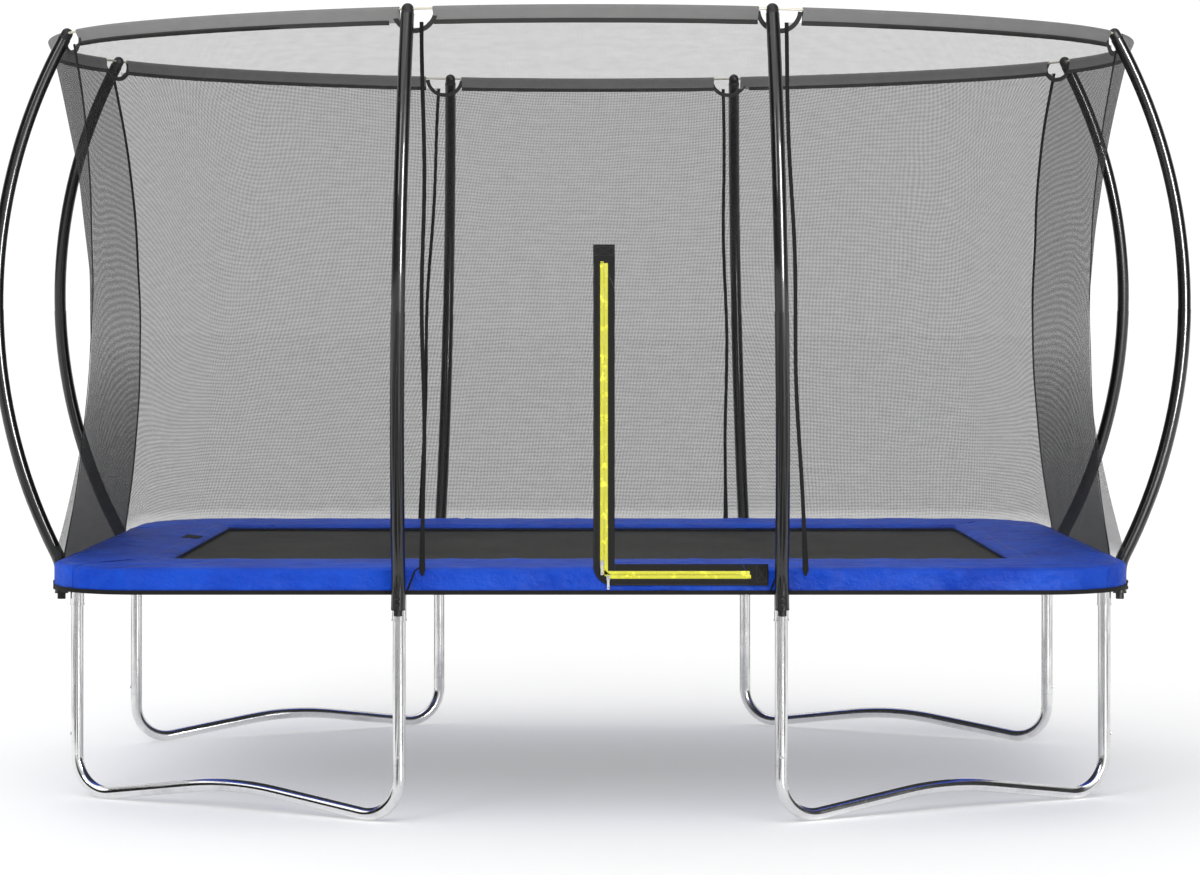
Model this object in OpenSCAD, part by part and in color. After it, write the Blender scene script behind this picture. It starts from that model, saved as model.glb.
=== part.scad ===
// Rectangular garden trampoline with a safety enclosure.
// Origin on the floor under the middle of the mat, X along the length, Y across it, Z up, millimetres.

/* [Frame] */
// Length between the centre lines of the two short rails
frame_l = 3540; // [3200:20:3900]
// Width between the centre lines of the two long rails
frame_w = 2400; // [2200:20:2700]
// Height of the rails' centre line over the floor
rail_z = 790; // [700:10:950]
// Outside diameter of the rail and leg tubes
rail_d = 42; // [38:1:46]
// Wall of every steel tube
tube_wall = 1.5; // [1.2:0.1:2]
// Centre line radius of the frame's corner bends
corner_r = 300; // [260:10:340]

/* [Legs] */
// Distance from the middle of a long side to each of its legs
leg_x = 623; // [520:1:700]
// Distance from the middle of a short side to each of its legs
leg_y = 650; // [540:1:680]
// Height at which a leg slips over its base
base_top_z = 190; // [175:5:240]
// Centre line radius of the bends at the ends of a base
base_bend_r = 125; // [110:5:140]
// Angle at which a base rises from its ends to its middle
base_rise = 8; // [5:1:9]
// Centre line radius of the arch in the middle of a base
base_arch_r = 1200; // [800:50:1400]
// Length of the sleeve that joins two rails over a leg
sleeve_l = 100; // [90:2:104]
// Height of a leg socket's lower end under the rail's centre line
socket_drop = 130; // [115:5:160]
// Wall of a leg socket and its sleeve
socket_wall = 2.2; // [1.8:0.1:2.4]

/* [Poles] */
// Outside diameter of a lower pole
pole_d = 46; // [42:1:46]
// Outside diameter of an upper pole
pole_top_d = 44; // [40:1:44]
// Distance between the centres of a leg and its pole
pole_stand = 54; // [54:1:62]
// Height of a pole's lower end under the rail's centre line
pole_drop = 85; // [80:1:90]
// Length of the straight foot of a pole
pole_foot = 60; // [56:2:80]
// Centre line radius of the bend above the foot
pole_bend_r = 150; // [120:10:200]
// Angle of the bend above the foot
pole_bend = 27.5; // [24:0.5:30]
// Height of the joint between a lower and an upper pole
pole_joint_z = 1680; // [1500:20:1900]

/* [Ring] */
// Height of the ring that carries the net
ring_z = 2640; // [2400:20:2800]
// How far the ring reaches past the centre lines of the short rails
ring_past_x = 195; // [150:5:240]
// How far the ring reaches past the centre lines of the long rails
ring_past_y = 225; // [180:5:260]
// Radius of the ring's ends
ring_end_r = 1130; // [1050:10:1250]
// Diameter of a ring rod
rod_d = 8; // [7:0.5:9]
// Distance from the middle of a long side to each of its pole caps
cap_x = 585; // [500:5:680]
// Distance from the middle of a short side to each of its pole caps
cap_y = 550; // [480:5:600]

/* [Mat] */
// Distance from a rail's centre line to the edge of the mat
mat_reach = 220; // [212:2:236]
// Thickness of the mat
mat_t = 2; // [1.6:0.2:3]
// Outside diameter of a spring
spring_d = 22; // [18:1:22]
// Diameter of the spring wire
wire_d = 4; // [3:0.5:4]
// Springs between the middle of a side and its leg
springs_to_leg = 5; // [4:1:5]

/* [Pad] */
// How far the pad reaches in from the short rails
pad_reach_x = 340; // [290:10:420]
// How far the pad reaches in from the long rails
pad_reach_y = 370; // [310:10:420]
// Thickness of the pad's foam
pad_t = 18; // [14:1:24]
// Height of the pad's lower edge under the rail's centre line
skirt_drop = 35; // [32:1:37]

/* [Net] */
// Thickness of the net and its webbing
net_t = 1.6; // [1.2:0.1:1.8]
// How far the net draws in at its waist
net_waist = 85; // [40:5:110]
// Height of the band that holds the ring rods
band_h = 50; // [40:2:60]
// Distance along the ring from a pole cap to its seam
seam_shift_top = 45; // [0:5:60]
// Distance along the pad from a pole to its seam
seam_shift_low = 77; // [60:5:100]
// Width of a seam's webbing
seam_w = 22; // [16:1:30]

/* [Door] */
// Place of the upright zip along the front
zip_x = 45; // [20:5:90]
// Length of the upright zip
zip_up_l = 1017; // [800:1:1100]
// Length of the level zip
zip_across_l = 478; // [380:1:490]
// Height of the level zip over the rail's centre line
zip_over_rail = 23; // [20:1:30]
// Width of the zip's tape
zip_tape_w = 70; // [60:2:76]
// Width of the zip's chain of teeth
zip_chain_w = 26; // [18:1:30]
// How far the tape runs past the end of a zip
zip_past = 56; // [50:2:60]

/* [Hidden] */

// Fits: play per side of pieces that slide together, and gap between flat pieces that only lie side by side
slide_gap = 0.3;
lay_gap = 0.9;
fine = 64;

// Directions that the four sides face
front = -90;
back = 90;
left = 180;
right = 0;

// Rails: a corner tube slips into its neighbours inside the sleeves
rail_r = rail_d / 2;
sleeve_r = rail_r + slide_gap + socket_wall;
joint_past = sleeve_l / 2 - 12;
rail_spigot_l = joint_past - 4;
join_gap = 0.05;
rail_x = frame_l / 2;
rail_y = frame_w / 2;
socket_z = rail_z - socket_drop;
leg_top_z = rail_z - sleeve_r - 1.5;

// Screws of the bases, and bolts of the poles with their nuts and spacers
screw_d = 6;
screw_up = 28;
base_spigot_l = 60;
bolt_d = 8;
bolt_play = 0.3;
bolt_drops = [70, 50];
bolt_head_gap = 1.2;
bolt_tail = sleeve_r + 10;
nut_d = 15;
nut_h = 6.5;
spacer_d = 18;

// Poles
pole_r = pole_d / 2;
pole_top_r = pole_top_d / 2;
pole_foot_z = rail_z - pole_drop;
pole_spigot_l = 80;
cap_reach = 25;
cap_r = 20;

// Ring: two long arcs and two end arcs that meet tangentially
ring_a = rail_x + ring_past_x;
ring_b = rail_y + ring_past_y;
ring_end_x = ring_a - ring_end_r;
ring_side_r = (pow(ring_end_x, 2) + pow(ring_b, 2) - pow(ring_end_r, 2)) / (2 * (ring_b - ring_end_r));
ring_side_y = ring_side_r - ring_b;
ring_turn = atan2(ring_end_x, ring_side_y);
cap_out_long = sqrt(pow(ring_side_r, 2) - pow(cap_x, 2)) - ring_side_y;
cap_out_short = ring_end_x + sqrt(pow(ring_end_r, 2) - pow(cap_y, 2));
rod_r = rod_d / 2;
ferrule_l = 60;
ferrule_wall = 1.2;
ferrule_r = rod_r + 0.6 + ferrule_wall;

// Mat and springs, which hook over the rails
wire_r = wire_d / 2;
lead_cut = 0.1;
hook_z = rail_z + rail_r + wire_r + 0.5;
hook_hole_d = wire_d + 5;
mat_ring_t = 4;
mat_ring_z = hook_z - wire_r - 0.5 - mat_ring_t;
mat_z = mat_ring_z + mat_ring_t / 2 - mat_t / 2;
mat_x = rail_x - mat_reach;
mat_y = rail_y - mat_reach;
mat_corner = (corner_r - mat_reach) * (2 - sqrt(2));
hem_w = 50;
hem_t = 1.4;
ring_bar = 6;
ring_h = 30;
ring_w = 36;
ring_wire = 4;
hook_in = 28;

// Pad, whose skirt hangs between the rail and the poles
skirt_t = 2.4;
skirt_in = sleeve_r + 1.2;
skirt_out = skirt_in + skirt_t;
pad_z = hook_z + wire_r + 1;
skirt_z = rail_z - skirt_drop;
pad_turn = 44.8;
pad_top_z = pad_z + pad_t;

// Net, which hangs outside the skirt
net_in = skirt_out + lay_gap;
net_low_z = skirt_z - 4;
net_bend_z = pad_top_z + 4;
net_top_z = ring_z + rod_r + 1 - band_h;
net_rows = 9;
web_t = 1.2;
seam_gap = 0.5;
tie_w = 12;
window_r = 60;

// Door: the flap turns on the line between the far ends of the two zips
zip_z = rail_z + zip_over_rail;
zip_top_z = zip_z + zip_up_l;
zip_end_x = zip_x + zip_across_l;
net_cut = 1;
hinge_cut = 6;
chain_past = 5;
tape_push = net_t + 0.3;
chain_push = tape_push + web_t + 0.2;
chain_t = 2;
slider_push = chain_push + chain_t + 0.4;
slider_t = 4;
slider_l = 16;
slider_w = zip_chain_w / 2 - 1.5;
pull_push = slider_push + slider_t + 0.4;
pull_t = 1.6;
pull_l = 38;
pull_w = 8;
slider_up_z = zip_z + 30;
slider_across_x = zip_x + 8;

// Places of the springs along a side: rows start half a step from the middle and skip the sleeves
function spring_step(leg) = leg / springs_to_leg;
function spring_places(leg, first, last) = [for (i = [first : last]) (i + 0.5) * spring_step(leg)];
function springs_to_bend(leg, bend) = floor((bend - hook_hole_d) / spring_step(leg) - 0.5);

function blend(a, b, t) = a + (b - a) * t;

// Point at a share of the way along an outline of points
function lengths(pts) = [for (i = [0 : len(pts) - 2]) norm(pts[i + 1] - pts[i])];
function total(v, i = 0) = i < len(v) ? v[i] + total(v, i + 1) : 0;
function walk(pts, lens, d, i = 0) =
    (i == len(lens) - 1 || d <= lens[i]) ? blend(pts[i], pts[i + 1], d / lens[i]) : walk(pts, lens, d - lens[i], i + 1);
function along(pts, share) = let (lens = lengths(pts)) walk(pts, lens, share * total(lens));

// Arc of a pole in the plane of its height and its bow: radius, centre and the angle at its upper end
function pole_fit(reach, end_angle) =
    let (
        start = [pole_bend_r * (1 - cos(pole_bend)), pole_foot + pole_bend_r * sin(pole_bend)],
        end = [cap_reach * sin(end_angle), reach - cap_reach * cos(end_angle)],
        turn = pole_bend - atan2(end[0] - start[0], end[1] - start[1]),
        r = norm(end - start) / (2 * sin(turn))
    )
    [r, [start[0] - r * cos(pole_bend), start[1] + r * sin(pole_bend)], 2 * turn - pole_bend];
function pole_arc(reach) = pole_fit(reach, pole_fit(reach, pole_fit(reach, pole_bend)[2])[2]);
function joint_angle(arc) = asin((pole_joint_z - pole_foot_z - arc[1][1]) / arc[0]);

// What a pole needs on a long or a short side: leg's place, and its cap's place along and outwards
long_side = [leg_x, rail_y, cap_x, cap_out_long];
short_side = [leg_y, rail_x, cap_y, cap_out_short];
function side_of(face) = (face == front || face == back) ? long_side : short_side;

// Straight tube upwards, and a tube bent in the XZ plane between two angles about the origin
module tube(r, h, wall = tube_wall) {
    difference() {
        cylinder(r = r, h = h, $fn = fine);
        translate([0, 0, -1]) cylinder(r = r - wall, h = h + 2, $fn = fine);
    }
}

module tube_arc(bend_r, r, from, to, wall = tube_wall) {
    trim = atan(join_gap / bend_r);
    rotate([90, 0, 0]) rotate([0, 0, from + trim]) rotate_extrude(angle = to - from - 2 * trim, $fn = 256)
        translate([bend_r, 0]) difference() {
            circle(r = r, $fn = fine);
            circle(r = r - wall, $fn = fine);
        }
}

// Weld inside a tube, which joins two lengths that meet at the origin
module weld(r, wall = tube_wall) {
    translate([0, 0, -1]) tube(r - wall / 2, 2, wall / 2 + 0.5);
}

// Spigot upwards that slides into a tube like the one it ends, with the shoulder that carries it
module spigot(r, h, wall = tube_wall) {
    inner_r = r - wall - slide_gap;
    translate([0, 0, -4]) tube(inner_r, h + 4, wall);
    translate([0, 0, -3.5]) tube(r - wall / 2, 3, wall + slide_gap);
}

// Drilled holes, each a cylinder along the way outwards through a leg
module leg_bolt_holes(lat) {
    for (drop = bolt_drops)
        translate([-100, lat, rail_z - drop]) rotate([0, 90, 0]) cylinder(r = bolt_d / 2 + bolt_play, h = 260, $fn = 32);
}

module hook_hole(out, lat) {
    translate([out, lat, rail_z]) cylinder(d = hook_hole_d, h = rail_d, $fn = 24);
}

// Rail in the middle of a side
module rail(face) {
    side = side_of(face);
    half = side[0] + joint_past;
    color("silver") rotate([0, 0, face]) difference() {
        translate([side[1], -half, rail_z]) rotate([-90, 0, 0]) tube(rail_r, 2 * half);
        for (s = [-1, 1], lat = spring_places(side[0], 0, springs_to_leg - 1)) hook_hole(side[1], s * lat);
    }
}

// Corner of the frame: a quarter bend with two straight ends, each with a spigot for a rail
module corner(sx, sy) {
    end_x = leg_x + joint_past + 0.5;
    end_y = leg_y + joint_past + 0.5;
    bend_x = rail_x - corner_r;
    bend_y = rail_y - corner_r;
    color("silver") mirror([sx < 0 ? 1 : 0, 0, 0]) mirror([0, sy < 0 ? 1 : 0, 0]) difference() {
        union() {
            translate([end_x, rail_y, rail_z]) rotate([0, 90, 0]) tube(rail_r, bend_x - end_x);
            translate([rail_x, end_y, rail_z]) rotate([-90, 0, 0]) tube(rail_r, bend_y - end_y);
            translate([bend_x, bend_y, rail_z]) rotate([-90, 0, 0]) tube_arc(corner_r, rail_r, 0, 90);
            translate([bend_x, rail_y, rail_z]) rotate([0, 90, 0]) weld(rail_r);
            translate([rail_x, bend_y, rail_z]) rotate([90, 0, 0]) weld(rail_r);
            translate([end_x, rail_y, rail_z]) rotate([0, -90, 0]) spigot(rail_r, rail_spigot_l);
            translate([rail_x, end_y, rail_z]) rotate([90, 0, 0]) spigot(rail_r, rail_spigot_l);
        }
        for (lat = spring_places(leg_x, springs_to_leg, springs_to_bend(leg_x, bend_x)))
            rotate([0, 0, back]) hook_hole(rail_y, -lat);
        for (lat = spring_places(leg_y, springs_to_leg, springs_to_bend(leg_y, bend_y)))
            hook_hole(rail_x, lat);
        translate([bend_x, bend_y, 0]) rotate([0, 0, 45]) hook_hole(corner_r, 0);
    }
}

// Sockets: a sleeve round the rails, and a drop tube with a collar for the leg
module leg_socket(side, lat) {
    bore_r = rail_r + slide_gap;
    translate([side[1], lat, 0]) difference() {
        union() {
            translate([0, -sleeve_l / 2, rail_z]) rotate([-90, 0, 0]) cylinder(r = sleeve_r, h = sleeve_l, $fn = fine);
            translate([0, 0, socket_z]) cylinder(r = sleeve_r, h = socket_drop, $fn = fine);
            translate([0, 0, socket_z]) cylinder(r = sleeve_r + 1.6, h = 5, $fn = fine);
        }
        translate([0, -sleeve_l, rail_z]) rotate([-90, 0, 0]) cylinder(r = bore_r, h = 2 * sleeve_l, $fn = fine);
        translate([0, 0, socket_z - 1]) cylinder(r = bore_r, h = leg_top_z + 1 - socket_z + 1, $fn = fine);
        leg_bolt_holes(0);
    }
}

module leg_sockets() {
    color("silver") for (face = [front, back, left, right], s = [-1, 1])
        rotate([0, 0, face]) leg_socket(side_of(face), s * side_of(face)[0]);
}

module legs() {
    color("lightgray") for (face = [front, back, left, right], s = [-1, 1])
        rotate([0, 0, face]) let (side = side_of(face)) difference() {
            translate([side[1], s * side[0], base_top_z + 0.5]) tube(rail_r, leg_top_z - base_top_z - 0.5);
            translate([side[1], 0, 0]) leg_bolt_holes(s * side[0]);
            translate([side[1], s * side[0], base_top_z + screw_up]) rotate([0, 90, 0])
                cylinder(d = screw_d + 0.6, h = rail_d, $fn = 24);
        }
}

// Base: one tube from a long side's leg to a short side's, lying on the floor near its ends
function base_span() = norm([rail_x - leg_x, rail_y - leg_y]);

// Half of a base in the XZ plane: its leg's end, the bend, and the run up to the arch
base_low = [base_bend_r * (1 + sin(base_rise)), rail_r + base_bend_r * (1 - cos(base_rise))];
base_run = (base_span() / 2 - base_low[0] - base_arch_r * sin(base_rise)) / cos(base_rise);

module base_half() {
    foot_z = rail_r + base_bend_r;
    translate([0, 0, foot_z]) tube(rail_r, base_top_z - foot_z);
    translate([0, 0, base_top_z]) spigot(rail_r, base_spigot_l);
    translate([0, 0, foot_z]) weld(rail_r);
    translate([base_bend_r, 0, foot_z]) tube_arc(base_bend_r, rail_r, 180, 270 + base_rise);
    translate([base_low[0], 0, base_low[1]]) rotate([0, 90 - base_rise, 0]) {
        weld(rail_r);
        tube(rail_r, base_run);
        translate([0, 0, base_run]) weld(rail_r);
    }
}

module base_tube() {
    arch_z = base_low[1] + base_run * sin(base_rise) - base_arch_r * cos(base_rise);
    base_half();
    translate([base_span(), 0, 0]) mirror([1, 0, 0]) base_half();
    translate([base_span() / 2, 0, arch_z]) tube_arc(base_arch_r, rail_r, 90 - base_rise, 90 + base_rise);
}

module base(sx, sy) {
    turn = atan2(leg_y - rail_y, rail_x - leg_x);
    color("silver") mirror([sx < 0 ? 1 : 0, 0, 0]) mirror([0, sy < 0 ? 1 : 0, 0]) difference() {
        translate([leg_x, rail_y, 0]) rotate([0, 0, turn]) base_tube();
        translate([leg_x, rail_y, base_top_z + screw_up]) rotate([-90, 0, 0])
            cylinder(d = screw_d + 0.6, h = rail_d, $fn = 24);
        translate([rail_x, leg_y, base_top_z + screw_up]) rotate([0, 90, 0])
            cylinder(d = screw_d + 0.6, h = rail_d, $fn = 24);
    }
}

// Screws that lock each leg to its base
module base_screws() {
    color("dimgray") for (face = [front, back, left, right], s = [-1, 1])
        rotate([0, 0, face]) let (side = side_of(face))
            translate([side[1] + rail_r - 5, s * side[0], base_top_z + screw_up]) rotate([0, 90, 0]) {
                cylinder(d = screw_d, h = 5.4, $fn = 24);
                translate([0, 0, 5.3]) cylinder(d = 2 * screw_d, h = 3, $fn = 24);
            }
}

// Poles: each stands beside its leg, leans to its cap and bows outwards
function pole_foot_at(side) = [side[1] + pole_stand, side[0], pole_foot_z];
function pole_cap_at(side) = [side[3], side[2], ring_z];
function pole_reach(side) = norm(pole_cap_at(side) - pole_foot_at(side));

module at_pole(face, s) {
    side = side_of(face);
    way = pole_cap_at(side) - pole_foot_at(side);
    rotate([0, 0, face]) mirror([0, s < 0 ? 1 : 0, 0]) translate(pole_foot_at(side))
        rotate([-asin(way[1] / norm(way)), atan2(way[0], way[2]), 0]) children();
}

module at_pole_end(face, s) {
    arc = pole_arc(pole_reach(side_of(face)));
    at_pole(face, s)
        translate([arc[1][0] + arc[0] * cos(arc[2]), 0, arc[1][1] + arc[0] * sin(arc[2])])
        rotate([0, -arc[2], 0]) children();
}

module pole_lower(arc) {
    tube(pole_r, pole_foot);
    translate([0, 0, pole_foot]) weld(pole_r);
    translate([pole_bend_r, 0, pole_foot]) {
        tube_arc(pole_bend_r, pole_r, 180 - pole_bend, 180);
        rotate([0, pole_bend, 0]) translate([-pole_bend_r, 0, 0]) weld(pole_r);
    }
    translate([arc[1][0], 0, arc[1][1]]) tube_arc(arc[0], pole_r, -pole_bend, joint_angle(arc));
}

module pole_upper(arc) {
    spigot_r = pole_r - tube_wall - slide_gap;
    at = joint_angle(arc);
    step = atan(1 / arc[0]);
    translate([arc[1][0], 0, arc[1][1]]) {
        tube_arc(arc[0], spigot_r, at - pole_spigot_l * step, at + 4 * step);
        tube_arc(arc[0], pole_top_r - tube_wall / 2, at + step, at + 3 * step, pole_top_r - spigot_r);
        tube_arc(arc[0], pole_top_r, at + 0.5 * step, arc[2]);
    }
}

module poles_lower(face) {
    side = side_of(face);
    color("black") for (s = [-1, 1]) difference() {
        at_pole(face, s) pole_lower(pole_arc(pole_reach(side)));
        rotate([0, 0, face]) translate([side[1], 0, 0]) leg_bolt_holes(s * side[0]);
    }
}

module poles_upper(face) {
    color("black") for (s = [-1, 1]) at_pole(face, s) pole_upper(pole_arc(pole_reach(side_of(face))));
}

// Cap on a pole: a plug, a flange and a round head with a hole for the ring rod
module cap_body() {
    head = [for (i = [0 : 8]) [cap_r * cos(90 * i / 8), cap_reach - 2 + cap_r * sin(90 * i / 8)]];
    rotate_extrude($fn = fine) polygon(concat([
        [0, -30], [pole_top_r - tube_wall - slide_gap, -30], [pole_top_r - tube_wall - slide_gap, 0.2],
        [pole_top_r, 0.2], [pole_top_r, 5], [cap_r, 7]
    ], head));
}

module pole_caps() {
    color("black") for (face = [front, back, left, right], s = [-1, 1]) difference() {
        at_pole_end(face, s) cap_body();
        rotate([0, 0, face]) let (side = side_of(face), tilt = cap_tilt(face))
            translate([side[3], s * side[2], ring_z]) rotate([0, 0, s * tilt]) rotate([90, 0, 0])
                cylinder(r = rod_r + 0.7, h = 4 * cap_r, center = true, $fn = 32);
    }
}

// Angle between a side and the ring at that side's cap
function cap_tilt(face) = (face == front || face == back) ? asin(cap_x / ring_side_r) : asin(cap_y / ring_end_r);

module pole_plugs() {
    plug_r = pole_r - tube_wall - slide_gap;
    color("black") for (face = [front, back, left, right], s = [-1, 1]) at_pole(face, s)
        rotate_extrude($fn = fine) polygon([
            [0, -24], [13, -24], [14, -22], [14, -4.2], [pole_r, -4.2], [pole_r, -0.2],
            [plug_r, -0.2], [plug_r, 6], [plug_r - 2, 8], [0, 8]
        ]);
}

// Spacers between a pole and its socket, bolts through all of them, and their nuts
module pole_spacers() {
    color("black") for (face = [front, back, left, right], s = [-1, 1]) difference() {
        rotate([0, 0, face]) let (side = side_of(face)) difference() {
            for (drop = bolt_drops) translate([side[1], s * side[0], rail_z - drop]) rotate([0, 90, 0])
                cylinder(d = spacer_d, h = pole_stand, $fn = 32);
            translate([side[1], s * side[0], socket_z]) cylinder(r = sleeve_r + 0.1, h = socket_drop, $fn = fine);
            translate([side[1], 0, 0]) leg_bolt_holes(s * side[0]);
        }
        at_pole(face, s) translate([0, 0, -10]) cylinder(r = pole_r + 0.1, h = pole_foot + 10, $fn = fine);
    }
}

function pole_lean(side) = (pole_cap_at(side)[0] - pole_foot_at(side)[0]) / (ring_z - pole_foot_z);

module pole_bolts() {
    color("dimgray") for (face = [front, back, left, right], s = [-1, 1], drop = bolt_drops)
        rotate([0, 0, face]) let (
            side = side_of(face),
            reach = pole_stand + pole_r + bolt_head_gap + max(0, pole_lean(side)) * (pole_drop - drop)
        )
            translate([side[1], s * side[0], rail_z - drop]) rotate([0, 90, 0]) {
                translate([0, 0, -bolt_tail]) cylinder(d = bolt_d, h = reach + bolt_tail + 1, $fn = 32);
                translate([0, 0, reach]) cylinder(d1 = 1.9 * bolt_d, d2 = 1.2 * bolt_d, h = 4.5, $fn = 32);
            }
}

module pole_nuts() {
    color("dimgray") for (face = [front, back, left, right], s = [-1, 1], drop = bolt_drops)
        rotate([0, 0, face]) let (side = side_of(face))
            translate([side[1] - sleeve_r - 1 - nut_h, s * side[0], rail_z - drop]) rotate([0, 90, 0]) difference() {
                cylinder(d = nut_d, h = nut_h, $fn = 6);
                translate([0, 0, -1]) cylinder(d = bolt_d + 0.4, h = nut_h + 2, $fn = 32);
            }
}

// Ring: rods that meet in ferrules at the middle of each side and where the arcs meet
module flat_arc(bend_r, from, to) {
    rotate([0, 0, from]) rotate_extrude(angle = to - from, $fn = 256) translate([bend_r, 0]) children();
}

// Arc of the ring over one side, between two angles measured from straight outwards
module ring_arc(face, from, to) {
    long = face == front || face == back;
    rotate([0, 0, face]) translate([long ? -ring_side_y : ring_end_x, 0, ring_z])
        flat_arc(long ? ring_side_r : ring_end_r, from, to) children();
}
function ring_reach(face) = (face == front || face == back) ? ring_turn : 90 - ring_turn;
function ring_radius(face) = (face == front || face == back) ? ring_side_r : ring_end_r;

module ring_rods() {
    color("linen") for (face = [front, back, left, right], s = [-1, 1]) {
        gap = atan(0.5 / ring_radius(face));
        ring_arc(face, s > 0 ? gap : gap - ring_reach(face), s > 0 ? ring_reach(face) - gap : -gap)
            circle(r = rod_r, $fn = 32);
    }
}

module ferrule() {
    translate([0, -ferrule_l / 2, ring_z]) rotate([-90, 0, 0]) tube(ferrule_r, ferrule_l, ferrule_wall, $fn = 32);
}

module ring_ferrules() {
    color("silver") {
        for (face = [front, back]) rotate([0, 0, face]) translate([ring_b, 0, 0]) ferrule();
        for (face = [left, right]) rotate([0, 0, face]) translate([ring_a, 0, 0]) ferrule();
        for (sx = [-1, 1], sy = [-1, 1]) let (r = ring_end_r, turn = 90 - ring_turn)
            translate([sx * (ring_end_x + r * cos(turn)), sy * r * sin(turn), 0])
                rotate([0, 0, sx * sy * turn]) ferrule();
    }
}

// Band of the net: a folded strip over the rods, open round each cap
module net_band() {
    inner = ferrule_r + 0.6;
    color("dimgray") difference() {
        for (face = [front, back, left, right])
            let (reach = ring_reach(face) - atan(0.2 / ring_radius(face))) ring_arc(face, -reach, reach) polygon([
                [-inner - web_t, rod_r + 2 - band_h], [-inner - web_t, inner + web_t],
                [inner + web_t, inner + web_t],
                [inner + web_t, rod_r + 2 - band_h], [inner, rod_r + 2 - band_h], [inner, inner],
                [-inner, inner], [-inner, rod_r + 2 - band_h]
            ]);
        cap_windows(0);
    }
}

// Windows in the band and the net round the caps
module cap_windows(play) {
    for (face = [front, back, left, right], s = [-1, 1])
        rotate([0, 0, face]) let (side = side_of(face))
            translate([side[3] - 100, s * side[2] + seam_shift_top / 2, ring_z]) rotate([0, 90, 0])
                cylinder(r = window_r + play, h = 200, $fn = 48);
}

// Net: each panel joins the pad's outline to the ring and draws in between them
function ring_out(face, lat) = (face == front || face == back)
    ? sqrt(pow(ring_side_r, 2) - pow(lat, 2)) - ring_side_y
    : ring_end_x + sqrt(pow(ring_end_r, 2) - pow(lat, 2));
function row_share(row) = row <= 0 ? 0 : row / net_rows * (net_top_z - net_bend_z) / (ring_z - net_bend_z);
function row_z(row) = row < 0 ? net_low_z : net_bend_z + row_share(row) * (ring_z - net_bend_z);
function draw_in(share) = 4 * net_waist * share * (1 - share);

// Point on a side's panel: share s along it, at a row, and pushed outwards
function side_point(face, s, row, push) =
    let (
        side = side_of(face), v = row_share(row),
        low = blend(-side[0], side[0], s) + seam_shift_low,
        top = blend(-side[2], side[2], s) + seam_shift_top
    )
    [blend(side[1] + net_in, ring_out(face, top), v) - draw_in(v) + push, blend(low, top, v), row_z(row)];

// Outlines of a corner panel in the quarter of positive X and Y, from the long side to the short one
function corner_low(k) =
    let (
        x = rail_x - corner_r, y = rail_y - corner_r, r = corner_r + net_in,
        from_x = leg_x + k * seam_shift_low, to_y = leg_y - k * seam_shift_low
    )
    concat(
        [for (i = [0 : 5]) [blend(from_x, x, i / 6), y + r]],
        [for (i = [0 : 16]) [x + r * sin(90 * i / 16), y + r * cos(90 * i / 16)]],
        [for (i = [1 : 3]) [x + r, blend(y, to_y, i / 3)]]
    );
function corner_top(k) =
    let (
        first = 90 - asin((cap_x + k * seam_shift_top) / ring_side_r), meet = 90 - ring_turn,
        last = asin((cap_y - k * seam_shift_top) / ring_end_r)
    )
    concat(
        [for (i = [0 : 8]) let (a = blend(first, meet, i / 8)) ring_side_r * [cos(a), sin(a)] - [0, ring_side_y]],
        [for (i = [1 : 8]) let (a = blend(meet, last, i / 8)) ring_end_r * [cos(a), sin(a)] + [ring_end_x, 0]]
    );

// Point of a corner panel above one point of its lower outline, which lies at share s of its length
function corner_point(low, top, s, row, push) =
    let (v = row_share(row), n = [cos(90 * (1 - s)), sin(90 * (1 - s))])
    let (at = blend(low, along(top, s), v) + (push - draw_in(v)) * n)
    [at[0], at[1], row_z(row)];

// Closed sheet from two grids of points, listed row by row, the first one inside
module sheet(inner, outer, cols) {
    rows = len(inner) / (cols + 1) - 1;
    n = len(inner);
    function at(r, c) = r * (cols + 1) + c;
    skin = [for (r = [0 : rows - 1], c = [0 : cols - 1]) [at(r, c), at(r, c + 1), at(r + 1, c + 1), at(r + 1, c)]];
    rim = concat(
        [for (c = [0 : cols - 1]) [at(0, c), at(0, c + 1)]], [for (r = [0 : rows - 1]) [at(r, cols), at(r + 1, cols)]],
        [for (c = [cols : -1 : 1]) [at(rows, c), at(rows, c - 1)]], [for (r = [rows : -1 : 1]) [at(r, 0), at(r - 1, 0)]]
    );
    polyhedron(points = concat(inner, outer), faces = concat(
        [for (q = skin, t = [[q[0], q[1], q[2]], [q[0], q[2], q[3]]]) t],
        [for (q = skin, t = [[q[2], q[1], q[0]], [q[3], q[2], q[0]]]) [for (i = t) i + n]],
        [for (e = rim, t = [[e[1], e[0], e[0] + n], [e[1], e[0] + n, e[1] + n]]) t]
    ));
}

module side_sheet(face, push, t, cols = 12) {
    rotate([0, 0, face]) sheet(
        [for (r = [-1 : net_rows], c = [0 : cols]) side_point(face, c / cols, r, push)],
        [for (r = [-1 : net_rows], c = [0 : cols]) side_point(face, c / cols, r, push + t)], cols);
}

module corner_sheet(sx, sy) {
    k = sx * sy > 0 ? -1 : 1;
    low = corner_low(k);
    top = corner_top(k);
    cols = len(low) - 1;
    lens = lengths(low);
    share = [for (i = [0 : cols]) i == 0 ? 0 : total([for (j = [0 : i - 1]) lens[j]]) / total(lens)];
    mirror([sx < 0 ? 1 : 0, 0, 0]) mirror([0, sy < 0 ? 1 : 0, 0]) sheet(
        [for (r = [-1 : net_rows], c = [cols : -1 : 0]) corner_point(low[c], top, share[c], r, 0)],
        [for (r = [-1 : net_rows], c = [cols : -1 : 0]) corner_point(low[c], top, share[c], r, net_t)], cols);
}

module net_side(face) {
    color("gray", 0.6) difference() {
        side_sheet(face, 0, net_t);
        cap_windows(2);
    }
}

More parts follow.
